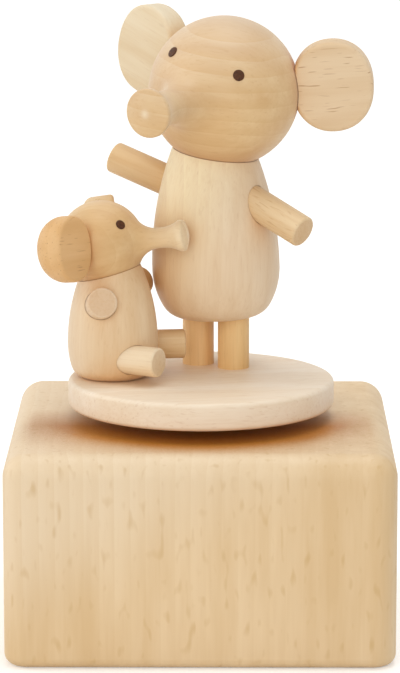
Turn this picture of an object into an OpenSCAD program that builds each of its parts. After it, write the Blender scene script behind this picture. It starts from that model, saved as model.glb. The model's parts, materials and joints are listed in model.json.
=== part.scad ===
// Wind-up music box: two turned elephants on a turntable above a hollow beech block.
// Millimetres, +Z up, origin at the middle of the block's underside. The front looks along -Y.

/* [Base block] */
// Width and depth of the block
base_w = 80; // [79:1:100]
// Height of the block
base_h = 44.2; // [43:0.2:56]
// Radius of the upright and upper edges
base_edge_r = 5; // [3:0.5:8]
// Radius of the lower edge
base_foot_r = 2.5; // [1:0.5:3]
// Wood left above the movement
roof_t = 8; // [7:0.5:9]
// Diameter of the arbor's hole through the roof
roof_hole_d = 7; // [6:0.5:9]
// Corner radius of the pocket that holds the movement
pocket_corner_r = 4; // [2:0.5:6]
// Room between the movement and the pocket's walls
pocket_room = 1.2; // [0.8:0.1:2]

/* [Bottom cover] */
// Rim of the block around the cover
cover_margin = 4.5; // [4:0.1:5]
// Thickness of the cover
cover_t = 4; // [3:0.5:5]
// Depth of the cover's underside above the table
cover_recess = 0.5; // [0.3:0.1:1]
// Gap around the cover
cover_gap = 0.25; // [0.1:0.05:0.4]
// Corner radius of the cover
cover_corner_r = 6; // [4:0.5:8]
// Distance from the cover's edges to its screws
cover_screw_inset = 4.5; // [4:0.1:5]

/* [Screws] */
// Shank diameter of the wood screws
wood_screw_d = 2.6; // [2:0.1:3]
// Head diameter of the wood screws
wood_screw_head_d = 5.2; // [4.6:0.1:6]
// Length of the cover's screws
cover_screw_l = 14; // [11:0.5:18]
// Length of the movement's screws
movement_screw_l = 7.5; // [6:0.5:8]
// Head height of the movement's screws
movement_screw_head_h = 1.4; // [1:0.1:1.8]
// Shank diameter of the comb's and governor's screws
machine_screw_d = 1.8; // [1.4:0.1:2]
// Head diameter of the comb's and governor's screws
machine_screw_head_d = 3.2; // [2.8:0.1:3.6]
// Head height of the comb's and governor's screws
machine_screw_head_h = 1; // [0.8:0.1:1.2]
// Length of the comb's screws
comb_screw_l = 5; // [4:0.5:6]
// Length of the governor's screws
governor_screw_l = 2.8; // [2:0.1:3]
// Width of a screw's slot
slot_w = 0.6; // [0.4:0.1:0.8]
// Depth of a screw's slot
slot_depth = 0.6; // [0.4:0.1:0.7]

/* [Fits] */
// Radial gap around glued dowels, pegs and screws
glue_gap = 0.05; // [0.02:0.01:0.08]
// Gap between a coved face and the ball it seats on
seam = 0.12; // [0.05:0.01:0.2]
// Radial gap of a turning shaft in its bearing
running_gap = 0.05; // [0.03:0.01:0.08]
// Gap past the end of a dowel or screw in its blind bore
end_gap = 0.3; // [0.2:0.1:0.6]

/* [Turntable] */
// Diameter of the disc
disc_d = 56; // [56:0.5:70]
// Thickness of the disc
disc_t = 5.8; // [5.4:0.2:8]
// Height of the disc above the block
disc_gap = 2.6; // [2.2:0.1:4]
// Radius of the disc's edges
disc_edge_r = 1; // [0.4:0.1:2]
// Diameter of the threaded insert in the disc
insert_d = 7; // [6:0.5:9]
// Length of the insert inside the disc
insert_l = 4; // [3:0.1:4.6]
// Diameter of the insert's flange under the disc
insert_flange_d = 12; // [10:0.5:14]
// Thickness of the insert's flange
insert_flange_t = 0.8; // [0.6:0.1:1.2]

/* [Mother] */
// Place of the mother's axis to the right of the disc's middle
mother_x = 3.1; // [2:0.1:5]
// Place of the mother's axis behind the disc's middle
mother_y = 12.6; // [11:0.1:13]
// Turn of the mother from the front, negative to the left
mother_face = -31; // [-35:1:-27]
// Largest diameter of the body
mother_body_d = 27.2; // [26:0.2:29]
// Height of the body's widest ring above its underside
mother_belly_h = 10.5; // [10:0.1:11]
// Height of the body's flank above its underside before the cove is cut
mother_body_h = 37; // [36:0.5:38]
// Radius of the arc below the widest ring
mother_low_r = 16; // [15:0.5:18]
// Radius of the body's lower edge
mother_bottom_r = 5; // [4:0.5:6]
// Radius of the flank's long arc
mother_flank_r = 70; // [62:1:78]
// Lean of the body to the left, about its widest ring
mother_body_lean = 1.6; // [0:0.2:2.4]
// Height of the head's middle above the body's underside
mother_head_h = 48.3; // [47.8:0.1:49]
// Shift of the head towards the mother's left
mother_head_side = 2; // [0:0.1:2.4]
// Radius of the head
mother_head_r = 16; // [15.4:0.1:16.4]
// Lean of the head towards the mother's left
mother_head_roll = 8; // [0:1:9]
// Rise of the trunk above level
mother_head_pitch = -2.5; // [-4:0.5:2]
// Distance from the head's middle to the trunk's tip
mother_trunk_l = 31.2; // [29:0.2:33]
// Radius of the trunk's narrowest ring
mother_trunk_r = 3.7; // [3.2:0.1:4.2]
// Radius of the trunk's flared tip
mother_tip_r = 5.1; // [4.6:0.1:5.6]
// Width of an ear
mother_ear_w = 17.2; // [16.4:0.2:18]
// Height of an ear
mother_ear_h = 19.2; // [18:0.2:21]
// Thickness of an ear
mother_ear_t = 6.8; // [6:0.2:8]
// Distance from the head's middle to an ear's middle
mother_ear_reach = 23; // [22.4:0.1:23.4]
// Radius of an ear's domed back
mother_ear_dome_r = 40; // [24:1:60]
// Rise of an ear above the head's middle
mother_ear_rise = 10; // [6:1:12]
// Turn of the left ear from the face
mother_ear_left_turn = 119; // [112:1:124]
// Turn of the right ear from the face
mother_ear_right_turn = 106; // [102:1:112]
// Diameter of an eye
mother_eye_d = 2.4; // [2:0.1:3]
// Turn of an eye from the middle of the pair
mother_eye_turn = 35.5; // [32:0.5:38]
// Turn of the pair of eyes towards the mother's left
mother_eye_shift = 2.5; // [0:0.5:6]
// Lean of the pair of eyes towards the mother's left
mother_eye_lean = 6.5; // [0:0.5:8]
// Rise of an eye above the head's middle
mother_eye_rise = 30; // [26:1:33]
// Diameter of the leg dowels
mother_leg_d = 6.7; // [6:0.1:7.2]
// Distance between the legs' axes
mother_leg_gap = 8.8; // [8:0.1:9.4]
// Leg between the disc and the body
mother_leg_h = 10.8; // [9:0.1:13]
// Diameter of the arm dowels
mother_arm_d = 6.7; // [6:0.1:7]
// Distance from the body's axis to the end of the left arm
mother_arm_left_l = 25; // [22:0.5:28]
// Distance from the body's axis to the end of the right arm
mother_arm_right_l = 25.4; // [22:0.5:28]
// Height of the left arm's axis at the body's axis, above the body's underside
mother_arm_left_h = 29.7; // [28.4:0.1:30]
// Height of the right arm's axis at the body's axis, above the body's underside
mother_arm_right_h = 24.5; // [23.4:0.1:26]
// Rise of the left arm
mother_arm_left_rise = -22; // [-26:1:-18]
// Rise of the right arm
mother_arm_right_rise = 19; // [15:1:22]

/* [Baby] */
// Place of the baby's axis to the right of the disc's middle
baby_x = -18.6; // [-19:0.1:-18]
// Place of the baby's axis behind the disc's middle
baby_y = 0.6; // [-1:0.1:1]
// Turn of the baby from the front
baby_face = 77; // [74:1:82]
// Largest diameter of the body
baby_body_d = 19; // [18:0.2:20]
// Height of the body's widest ring above the disc
baby_belly_h = 7.4; // [7:0.2:8]
// Height of the body's flank above the disc before the cove is cut
baby_body_h = 24; // [23.5:0.5:25]
// Radius of the arc below the widest ring
baby_low_r = 17.6; // [16:0.2:20]
// Radius of the body's lower edge
baby_bottom_r = 3.2; // [2.6:0.1:3.6]
// Radius of the flank's long arc
baby_flank_r = 40; // [36:1:46]
// Height of the head's middle above the disc
baby_head_h = 28.2; // [28:0.1:29]
// Shift of the head backwards
baby_head_back = 2.4; // [1.5:0.1:2.6]
// Radius of the head
baby_head_r = 9.15; // [8.8:0.05:9.5]
// Rise of the trunk above level
baby_head_pitch = 8; // [4:1:12]
// Distance from the head's middle to the trunk's tip
baby_trunk_l = 19; // [17:0.2:19.2]
// Radius of the trunk's narrowest ring
baby_trunk_r = 2.15; // [1.9:0.05:2.5]
// Radius of the trunk's flared tip
baby_tip_r = 3.3; // [3:0.1:3.6]
// Width of an ear
baby_ear_w = 11.4; // [10.8:0.2:12]
// Height of an ear
baby_ear_h = 13.8; // [12:0.2:14.6]
// Thickness of an ear
baby_ear_t = 8; // [6.8:0.2:8.6]
// Radius of an ear's domed back
baby_ear_dome_r = 11.5; // [10:0.5:24]
// Turn of the left ear from the face
baby_ear_left_turn = 106; // [104:1:112]
// Turn of the right ear from the face
baby_ear_right_turn = 111; // [106:1:114]
// Distance from the head's middle to an ear's middle
baby_ear_reach = 14.2; // [13.6:0.1:14.4]
// Rise of an ear above the head's middle
baby_ear_rise = 6; // [3:1:9]
// Diameter of an eye
baby_eye_d = 2.1; // [1.6:0.1:2.4]
// Turn of an eye from the trunk
baby_eye_turn = 40; // [34:0.5:44]
// Rise of an eye above the head's middle
baby_eye_rise = 28; // [24:1:32]
// Diameter of the leg dowels
baby_leg_d = 6.2; // [5.6:0.1:6.6]
// Height of the legs' axes above the disc
baby_leg_h = 5; // [4.2:0.1:5.4]
// Distance between the legs' axes at the body's middle
baby_leg_gap = 9; // [8.6:0.1:9.6]
// Length of the right leg from the body's middle
baby_leg_right_l = 12.6; // [12:0.2:14]
// Length of the left leg from the body's middle
baby_leg_left_l = 14.2; // [12:0.2:14.8]
// Height of the left leg above the right leg
baby_leg_left_lift = 0.8; // [0:0.1:1.2]
// Outward turn of the right leg
baby_leg_right_splay = 17; // [10:1:22]
// Outward turn of the left leg
baby_leg_left_splay = 20; // [10:1:24]
// Diameter of the arm dowels
baby_arm_d = 6.4; // [5.8:0.1:6.8]
// Height of the left arm's axis at the body's axis, above the disc
baby_arm_left_h = 17; // [16.4:0.1:17.4]
// Height of the right arm's axis at the body's axis, above the disc
baby_arm_right_h = 14.2; // [13.8:0.1:14.6]
// Distance of the right arm's axis behind the body's axis
baby_arm_right_back = 3.3; // [2.4:0.1:3.6]
// Distance from the body's axis to the end of the left arm
baby_arm_left_l = 12.6; // [11:0.2:15]
// Distance from the body's axis to the end of the right arm
baby_arm_right_l = 11.8; // [11:0.2:14]
// Turn of the right arm from the face
baby_arm_right_turn = 70; // [66:1:84]
// Rise of the right arm
baby_arm_right_rise = 17; // [8:1:18]
// Turn of the left arm from the face
baby_arm_left_turn = 76; // [72:1:90]
// Rise of the left arm
baby_arm_left_rise = 7; // [0:1:9]
// Length of the screw that holds the baby to the disc
baby_screw_l = 14; // [12:0.5:18]

/* [Shared figure details] */
// Squareness of an ear's outline, 2 is an ellipse
ear_square = 2.15; // [2:0.05:2.6]
// Dome of an eye above the head
eye_proud = 0.2; // [0.1:0.05:0.4]
// Depth of an eye peg
eye_depth = 2.4; // [1.6:0.2:3]
// Turn of the mother's arms from the face
mother_arm_turn = 83; // [78:1:90]
// Depth of the dowels in the disc
leg_seat = 3; // [2:0.2:3.4]
// Length of the mother's legs inside the body
leg_in = 8; // [6:0.5:10]
// Distance from the mother's axis to an arm's inner end
mother_arm_in = 6.2; // [5.6:0.1:7]
// Distance from the baby's axis to an arm's inner end
baby_arm_in = 5.7; // [5.6:0.1:6]
// Distance from the baby's middle to a leg's inner end
baby_leg_in = 3.6; // [3.4:0.1:5]
// Diameter of the mother's neck dowel
mother_neck_d = 5; // [4:0.5:6]
// Diameter of the baby's neck dowel
baby_neck_d = 3.5; // [3:0.5:4]
// Length of a neck dowel in the body and in the head
neck_in = 6; // [4:0.5:6.4]
// Diameter of an ear dowel
ear_dowel_d = 3; // [2:0.5:4]
// Length of an ear dowel in the head and in the ear
ear_dowel_in = 4; // [3:0.5:4.5]
// Edge break at the ends of the dowels
dowel_chamfer = 0.5; // [0.2:0.1:0.8]
// Rim of a trunk's tip
tip_rim = 0.9; // [0.6:0.1:1.2]
// Dome of a trunk's end
tip_dome = 1; // [0.6:0.1:1.2]
// Radius of the hollow between head and trunk, for each millimetre of the head's radius
head_blend = 0.6; // [0.4:0.02:0.62]

/* [Movement plate] */
// Thickness of the bedplate
bed_t = 2; // [1.6:0.1:2.4]
// Drop of the cylinder's axis below the bedplate
cylinder_drop = 8.2; // [8.2:0.1:9]
// Diameter of the spring housing
drum_d = 17.2; // [16.6:0.1:17.2]
// Wall of the spring housing
drum_wall = 0.5; // [0.4:0.1:0.7]
// Floor of the spring housing
drum_floor = 0.8; // [0.6:0.1:1]
// Diameter of the winding arbor
arbor_d = 4; // [3.6:0.1:4.2]
// Diameter of the arbor's hub inside the spring
arbor_hub_d = 6.2; // [5.6:0.1:6.6]
// Diameter of the arbor's lower head
arbor_head_d = 5.6; // [5:0.1:6]
// Height of the arbor's lower head
arbor_head_h = 0.9; // [0.7:0.1:1.2]
// Thickness of the mainspring's strip
spring_t = 0.3; // [0.2:0.02:0.32]
// Height of the mainspring's strip
spring_h = 9.6; // [8:0.2:10]
// Turns of the mainspring
spring_turns = 7; // [5:1:8]
// Width of the ledge where the bedplate reaches past the drum
bed_margin = 2.6; // [2.4:0.1:3.4]

/* [Crown wheel] */
// Module of the crown wheel and its pinion
crown_module = 0.6; // [0.6:0.01:0.62]
// Teeth on the crown wheel
crown_teeth = 33; // [33:1:34]
// Teeth on the cylinder's pinion
pinion_teeth = 14; // [13:1:14]
// Width of the crown wheel's teeth
crown_face = 1.6; // [1.2:0.1:1.7]
// Thickness of the crown wheel
crown_t = 1.6; // [1.2:0.1:2]
// Backlash of the crown wheel and its pinion
crown_slack = 0.2; // [0.18:0.01:0.26]
// Radius of the ratchet wheel
ratchet_r = 4.6; // [4.2:0.1:4.8]
// Depth of the ratchet's teeth
ratchet_depth = 1; // [0.8:0.1:1.2]
// Teeth on the ratchet wheel
ratchet_teeth = 12; // [10:1:14]
// Thickness of the ratchet wheel and the click
ratchet_t = 1.4; // [1.2:0.1:1.8]

/* [Cylinder and comb] */
// Diameter of the cylinder
cylinder_d = 12; // [11:0.1:12.2]
// Wall of the cylinder
cylinder_wall = 0.9; // [0.7:0.1:1.2]
// Diameter of the cylinder's axle
axle_d = 2; // [1.6:0.1:2.4]
// Teeth on the comb
comb_teeth = 18; // [16:1:18]
// Spacing of the comb's teeth
comb_pitch = 0.76; // [0.7:0.01:0.76]
// Slot between two of the comb's teeth
comb_slot = 0.2; // [0.14:0.02:0.26]
// Length of the comb's teeth
comb_tooth_l = 7; // [6:0.2:8]
// Depth of the comb's back
comb_back = 9; // [8:0.2:9.4]
// Thickness of the comb
comb_t = 1; // [0.8:0.1:1.2]
// Height of a pin above the cylinder
pin_h = 0.6; // [0.4:0.05:0.7]
// Diameter of a pin
pin_d = 0.4; // [0.3:0.02:0.46]
// Pins around the cylinder for each tooth
pins_per_tooth = 3; // [2:1:4]
// Gap between the pins' circle and the comb's tips
comb_gap = 0.15; // [0.1:0.05:0.3]

/* [Governor] */
// Module of the governor's gears
governor_module = 0.5; // [0.48:0.01:0.5]
// Teeth on the cylinder's wheel
wheel_teeth = 28; // [27:1:28]
// Teeth on the governor's pinion
governor_pinion_teeth = 8; // [8:1:9]
// Teeth on the worm wheel
worm_wheel_teeth = 20; // [18:1:20]
// Thickness of the cylinder's wheel and the worm wheel
wheel_t = 1.2; // [1:0.1:1.2]
// Backlash of the governor's gears
governor_slack = 0.16; // [0.14:0.01:0.2]
// Pitch radius of the worm
worm_r = 1.6; // [1.5:0.05:1.8]
// Length of the worm's thread
worm_l = 6; // [5:0.5:7]
// Diameter of the governor's arbors
governor_arbor_d = 1.2; // [1:0.1:1.3]
// Radius of the fan
fan_r = 3.6; // [3:0.1:3.8]
// Height of the fan
fan_h = 7; // [5:0.5:8]
// Thickness of the fan's blades
fan_t = 0.5; // [0.4:0.1:0.8]
// Drop of the fan below the worm
fan_drop = 4; // [3.4:0.2:5]
// Thickness of the governor's frame
frame_t = 1.1; // [0.9:0.1:1.1]

/* [Hidden] */
$fn = 64;

// Beyond a face, so that a cut goes right through it
past = 1;
// Between faces that turn past each other
clear = 0.3;

// Heights
disc_z = base_h + disc_gap;
disc_top = disc_z + disc_t;
roof_z = base_h - roof_t;
bed_z = roof_z - bed_t;
axis_z = bed_z - cylinder_drop;

// Crown wheel and pinion: the crown's teeth point up and drive the pinion from below
pressure = 20;
crown_r = crown_module * crown_teeth / 2;
pinion_r = crown_module * pinion_teeth / 2;
crown_add = 0.8 * crown_module;
crown_ded = 1.25 * crown_module;
crown_pitch_z = axis_z - pinion_r;
crown_root_z = crown_pitch_z - crown_ded;
crown_z = crown_root_z - crown_t;
crown_in = crown_r - crown_face / 2;
crown_out = crown_r + crown_face / 2;
crown_disc_r = crown_out + 0.1;
drum_z = crown_root_z + 0.45;
arbor_r = arbor_d / 2;
ratchet_z = crown_z - clear - ratchet_t;
arbor_z = ratchet_z - arbor_head_h;

// Along the cylinder's axis, outwards from the arbor
lug_x = crown_disc_r + clear;
lug_t = 1;
cylinder_x = lug_x + lug_t + clear;
cylinder_r = cylinder_d / 2;
cylinder_l = comb_teeth * comb_pitch + 0.3;
wheel_x = cylinder_x + cylinder_l + clear;
worm_wheel_x = wheel_x + wheel_t + clear;
cheek_x = worm_wheel_x + wheel_t + 0.4;
axle_start = crown_in - 0.2;
axle_end = cheek_x + frame_t;
pin_circle_r = cylinder_r + pin_h;

// Governor train
wheel_r = governor_module * wheel_teeth / 2;
governor_pinion_r = governor_module * governor_pinion_teeth / 2;
worm_wheel_r = governor_module * worm_wheel_teeth / 2;
governor_y = -(wheel_r + governor_pinion_r);
worm_y = governor_y - worm_wheel_r - worm_r;
worm_x = worm_wheel_x + wheel_t / 2;
worm_add = 0.8 * governor_module;
worm_ded = 1.2 * governor_module;
worm_lead = PI * governor_module;
worm_z = axis_z - worm_l / 2;
fan_z = worm_z - fan_drop - fan_h;
foot_z = fan_z - 2.4;
leg_y = worm_y - fan_r - 1.6;
tab_x = wheel_x - 2.6;
governor_arbor_r = governor_arbor_d / 2;
flange_z = bed_z - frame_t;
governor_screw_x = tab_x + 1.8;
governor_screw_ys = [worm_y + 2.2, worm_y - 3.2];

// Comb and its anvil
comb_x = cylinder_x + 0.15;
comb_w = comb_teeth * comb_pitch;
comb_tip_y = pin_circle_r + comb_gap;
comb_root_y = comb_tip_y + comb_tooth_l;
comb_end_y = comb_root_y + comb_back;
comb_screw_y = comb_root_y + comb_back / 2;
comb_screw_xs = [comb_x + comb_w * 0.25, comb_x + comb_w * 0.75];

// Bedplate outline and the pocket around it
bed_x0 = -drum_d / 2 - bed_margin;
bed_x1 = cheek_x + frame_t + 0.6;
bed_y0 = leg_y - frame_t - 0.5;
bed_y1 = comb_end_y + 0.8;
bed_corner_r = 2;
bed_screw_inset = 3;
bed_screws = [
    [bed_x0 + bed_screw_inset, bed_y1 - bed_screw_inset],
    [bed_x0 + bed_screw_inset, bed_y0 + bed_screw_inset],
    [bed_x1 - bed_screw_inset, bed_y1 - bed_screw_inset]
];
pocket_x0 = min(bed_x0, -crown_disc_r) - pocket_room;
pocket_x1 = max(bed_x1, worm_x + fan_r) + pocket_room;
pocket_y0 = bed_y0 - pocket_room;
pocket_y1 = bed_y1 + pocket_room;

// Bottom cover
cover_w = base_w - 2 * cover_margin;
cover_z = cover_recess;
cover_top = cover_z + cover_t;
cover_screw_at = cover_w / 2 - cover_screw_inset;
wood_head_h = (wood_screw_head_d - wood_screw_d) / 2;

// Figures
mother_z = disc_top + mother_leg_h;
mother_body_r = mother_body_d / 2;
mother_side = [cos(mother_face), sin(mother_face)];
mother_head_c = [
    mother_x + mother_head_side * mother_side.x,
    mother_y + mother_head_side * mother_side.y,
    mother_z + mother_head_h
];
baby_body_r = baby_body_d / 2;
baby_ahead = [sin(baby_face), -cos(baby_face)];
baby_head_c = [
    baby_x - baby_head_back * baby_ahead.x,
    baby_y - baby_head_back * baby_ahead.y,
    disc_top + baby_head_h
];
// Undersides of the heads where the neck dowels enter
mother_neck_z = mother_head_c.z - sqrt(pow(mother_head_r, 2) - pow(mother_head_side, 2));
baby_neck_z = baby_head_c.z - sqrt(pow(baby_head_r, 2) - pow(baby_head_back, 2));
ear_points = 56;
// The left ear first, each turned to its own side
mother_ear_turns = [mother_ear_left_turn, -mother_ear_right_turn];
baby_ear_turns = [baby_ear_left_turn, -baby_ear_right_turn];

beech = "#e3c08c";
pale_beech = "#ecd0a2";
dowel_wood = "#dcb677";
dark_wood = "#4a2c1c";
brass = "#c9a44c";
steel = "#a9adb0";
zinc = "#8f9396";

// Points +Z of its children from a place, by a turn from the front and a rise above level
module aim(place, turn, rise) {
    translate(place)
        rotate([90 - rise, 0, turn])
            children();
}

module quarter_disc(r) {
    intersection() {
        circle(r);
        square(2 * r);
    }
}

module rounded_rect(w, d, r) {
    square([w - 2 * r, d], center = true);
    for (s = [-1, 1])
        translate([s * (w - r) / 2, 0])
            square([r, d - 2 * r], center = true);
    for (a = [0 : 90 : 270])
        translate([sign(cos(a + 45)) * (w / 2 - r), sign(sin(a + 45)) * (d / 2 - r)])
            rotate(a)
                quarter_disc(r);
}

// Half section of an upright edge with different radii at the top and the bottom
module edge_section(reach, h, top_r, bottom_r) {
    translate([0, bottom_r])
        square([reach, h - top_r - bottom_r]);
    if (reach > top_r)
        translate([0, h - top_r])
            square([reach - top_r, top_r]);
    translate([reach - top_r, h - top_r])
        quarter_disc(top_r);
    square([reach - bottom_r, bottom_r]);
    translate([reach - bottom_r, bottom_r])
        rotate(-90)
            quarter_disc(bottom_r);
}

// Dowel with broken edges, from the origin along Z
module dowel(d, l) {
    c = dowel_chamfer;
    cylinder(d1 = d - 2 * c, d2 = d, h = c);
    translate([0, 0, c])
        cylinder(d = d, h = l - 2 * c);
    translate([0, 0, l - c])
        cylinder(d1 = d, d2 = d - 2 * c, h = c);
}

module dowel_bore(d, l) {
    translate([0, 0, -end_gap])
        cylinder(d = d + 2 * glue_gap, h = l + 2 * end_gap);
}

// Countersunk wood screw, head's outer face at the origin, pointing up
module countersunk_screw(l) {
    difference() {
        union() {
            cylinder(d1 = wood_screw_head_d, d2 = wood_screw_d, h = wood_head_h);
            translate([0, 0, wood_head_h])
                cylinder(d = wood_screw_d, h = l - wood_head_h - wood_screw_d);
            translate([0, 0, l - wood_screw_d])
                cylinder(d1 = wood_screw_d, d2 = wood_screw_d / 4, h = wood_screw_d);
        }
        translate([-wood_screw_head_d, -slot_w / 2, -past])
            cube([2 * wood_screw_head_d, slot_w, slot_depth + past]);
    }
}

module countersunk_bore(l) {
    translate([0, 0, -past])
        cylinder(d = wood_screw_head_d + 2 * glue_gap, h = past);
    cylinder(d1 = wood_screw_head_d + 2 * glue_gap, d2 = wood_screw_d + 2 * glue_gap, h = wood_head_h);
    cylinder(d = wood_screw_d + 2 * glue_gap, h = l + end_gap);
}

// Round-headed screw, head below the origin, shank pointing up
module round_screw(d, head_d, head_h, l) {
    difference() {
        union() {
            translate([0, 0, -head_h])
                cylinder(d1 = head_d - head_h, d2 = head_d, h = head_h);
            cylinder(d = d, h = l);
        }
        translate([-head_d, -slot_w / 2, -head_h - past])
            cube([2 * head_d, slot_w, slot_depth + past]);
    }
}

// Involute gear outline with a tooth at phase
function involute(a) = tan(a) * 180 / PI - a;
function tooth_half(r, rp, m, slack) =
    let(rb = rp * cos(pressure), a = r > rb ? acos(rb / r) : 0)
    (PI * m / 4 - slack / 2) / rp * 180 / PI + involute(pressure) - involute(a);
function flank_radii(rp, add, ded) =
    let(rb = rp * cos(pressure), low = max(rb, rp - ded), steps = 3)
    concat(rp - ded < rb ? [rp - ded] : [], [for (k = [0 : steps]) low + (rp + add - low) * k / steps]);
function polar(r, a) = r * [cos(a), sin(a)];
function tooth(a, rp, m, add, ded, slack) =
    let(radii = flank_radii(rp, add, ded), n = len(radii))
    concat(
        [for (k = [0 : n - 1]) polar(radii[k], a - tooth_half(radii[k], rp, m, slack))],
        [for (k = [n - 1 : -1 : 0]) polar(radii[k], a + tooth_half(radii[k], rp, m, slack))]
    );

module gear_outline(teeth, m, add, ded, slack, phase) {
    polygon([
        for (i = [0 : teeth - 1])
            each tooth(phase + 360 * i / teeth, m * teeth / 2, m, add, ded, slack)
    ]);
}

// Turns a flat outline to stand across the cylinder's axis
module across(x, y, z, t) {
    translate([x, y, z])
        rotate([90, 0, 90])
            linear_extrude(t)
                children();
}

// Rod along the cylinder's axis
module rod(x0, x1, y, d) {
    translate([x0, y, axis_z])
        rotate([0, 90, 0])
            cylinder(d = d, h = x1 - x0);
}

// BASE

module base_shape() {
    core = base_w / 2 - base_edge_r;
    translate([-core, -core, 0])
        cube([2 * core, 2 * core, base_h]);
    for (a = [0 : 90 : 270])
        rotate(a) {
            translate([core, core, 0])
                rotate([90, 0, 0])
                    linear_extrude(2 * core)
                        edge_section(base_edge_r, base_h, base_edge_r, base_foot_r);
            translate([core, core, 0])
                rotate_extrude(angle = 90)
                    edge_section(base_edge_r, base_h, base_edge_r, base_foot_r);
        }
}

module cover_screw_places() {
    for (x = [-1, 1], y = [-1, 1])
        translate([x * cover_screw_at, y * cover_screw_at, cover_z])
            children();
}

module base_block() {
    color(beech)
        difference() {
            base_shape();
            translate([(pocket_x0 + pocket_x1) / 2, (pocket_y0 + pocket_y1) / 2, -past])
                linear_extrude(roof_z + past)
                    rounded_rect(pocket_x1 - pocket_x0, pocket_y1 - pocket_y0, pocket_corner_r);
            translate([0, 0, -past])
                linear_extrude(cover_top + past)
                    rounded_rect(cover_w + 2 * cover_gap, cover_w + 2 * cover_gap, cover_corner_r);
            translate([0, 0, roof_z - past])
                cylinder(d = roof_hole_d, h = roof_t + 2 * past);
            cover_screw_places()
                countersunk_bore(cover_screw_l);
            for (p = bed_screws)
                translate([p.x, p.y, roof_z - past])
                    cylinder(d = wood_screw_d + 2 * glue_gap, h = movement_screw_l - bed_t + end_gap + past);
        }
}

module bottom_cover() {
    color(pale_beech)
        difference() {
            translate([0, 0, cover_z])
                linear_extrude(cover_t)
                    rounded_rect(cover_w, cover_w, cover_corner_r);
            cover_screw_places()
                countersunk_bore(cover_screw_l);
        }
}

module cover_screws() {
    color(brass)
        cover_screw_places()
            countersunk_screw(cover_screw_l);
}

// MOVEMENT, FIXED PIECES

// Plate with the comb's anvil and the cylinder's inner bearing cast on
module bedplate() {
    anvil_inset = 0.5;
    lug_w = 7;
    lug_drop = 2.6;
    color(zinc)
        difference() {
            union() {
                translate([(bed_x0 + bed_x1) / 2, (bed_y0 + bed_y1) / 2, bed_z])
                    linear_extrude(bed_t)
                        rounded_rect(bed_x1 - bed_x0, bed_y1 - bed_y0, bed_corner_r);
                translate([comb_x + anvil_inset, comb_root_y, axis_z + comb_t / 2])
                    cube([comb_w - 2 * anvil_inset, comb_back, bed_z - axis_z - comb_t / 2 + bed_t / 2]);
                translate([lug_x, -lug_w / 2, axis_z - lug_drop])
                    cube([lug_t, lug_w, bed_z - axis_z + lug_drop + bed_t / 2]);
            }
            translate([0, 0, bed_z - past])
                cylinder(r = arbor_r + running_gap, h = bed_t + 2 * past);
            rod(lug_x - past / 4, lug_x + lug_t + past / 4, 0, axle_d + 2 * running_gap);
            for (p = bed_screws)
                translate([p.x, p.y, bed_z - past])
                    cylinder(d = wood_screw_d + 2 * glue_gap, h = bed_t + 2 * past);
            for (x = comb_screw_xs)
                translate([x, comb_screw_y, axis_z])
                    cylinder(d = machine_screw_d + 2 * glue_gap, h = comb_t / 2 + comb_screw_l);
            for (y = governor_screw_ys)
                translate([governor_screw_x, y, flange_z])
                    cylinder(d = machine_screw_d + 2 * glue_gap, h = governor_screw_l + end_gap);
            translate([worm_x, worm_y, bed_z - past])
                cylinder(r = governor_arbor_r + running_gap, h = past + bed_t / 2);
        }
}

module movement_screws() {
    color(steel)
        for (p = bed_screws)
            translate([p.x, p.y, bed_z])
                round_screw(wood_screw_d, wood_screw_head_d, movement_screw_head_h, movement_screw_l);
}

// Cup that holds the mainspring against the bedplate
module spring_housing() {
    drum_r = drum_d / 2;
    color(brass)
        difference() {
            translate([0, 0, drum_z])
                cylinder(r = drum_r, h = bed_z - drum_z);
            translate([0, 0, drum_z + drum_floor])
                cylinder(r = drum_r - drum_wall, h = bed_z - drum_z);
            translate([0, 0, drum_z - past])
                cylinder(r = arbor_r + running_gap, h = drum_floor + 2 * past);
        }
}

// Flat strip wound from the arbor's hub out to the housing
module mainspring() {
    inner = arbor_hub_d / 2 + 0.1;
    outer = drum_d / 2 - drum_wall - 0.05 - spring_t;
    steps = 20 * spring_turns;
    z = (drum_z + drum_floor + bed_z - spring_h) / 2;
    function coil(k, t) = polar(inner + (outer - inner) * k / steps + t, 360 * spring_turns * k / steps);
    color(steel)
        translate([0, 0, z])
            linear_extrude(spring_h)
                polygon(concat(
                    [for (k = [0 : steps]) coil(k, 0)],
                    [for (k = [steps : -1 : 0]) coil(k, spring_t)]
                ));
}

// Steel comb, its tips just clear of the pins' circle
module comb() {
    color(steel)
        difference() {
            translate([comb_x, comb_tip_y, axis_z - comb_t / 2])
                cube([comb_w, comb_tooth_l + comb_back, comb_t]);
            for (i = [1 : comb_teeth - 1])
                translate([comb_x + i * comb_pitch - comb_slot / 2, comb_tip_y - past, axis_z - comb_t])
                    cube([comb_slot, comb_tooth_l + past, 2 * comb_t]);
            for (x = comb_screw_xs)
                translate([x, comb_screw_y, axis_z - comb_t])
                    cylinder(d = machine_screw_d + 2 * glue_gap, h = 2 * comb_t);
        }
}

module comb_screws() {
    color(brass)
        for (x = comb_screw_xs)
            translate([x, comb_screw_y, axis_z - comb_t / 2])
                round_screw(machine_screw_d, machine_screw_head_d, machine_screw_head_h, comb_screw_l);
}

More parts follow.
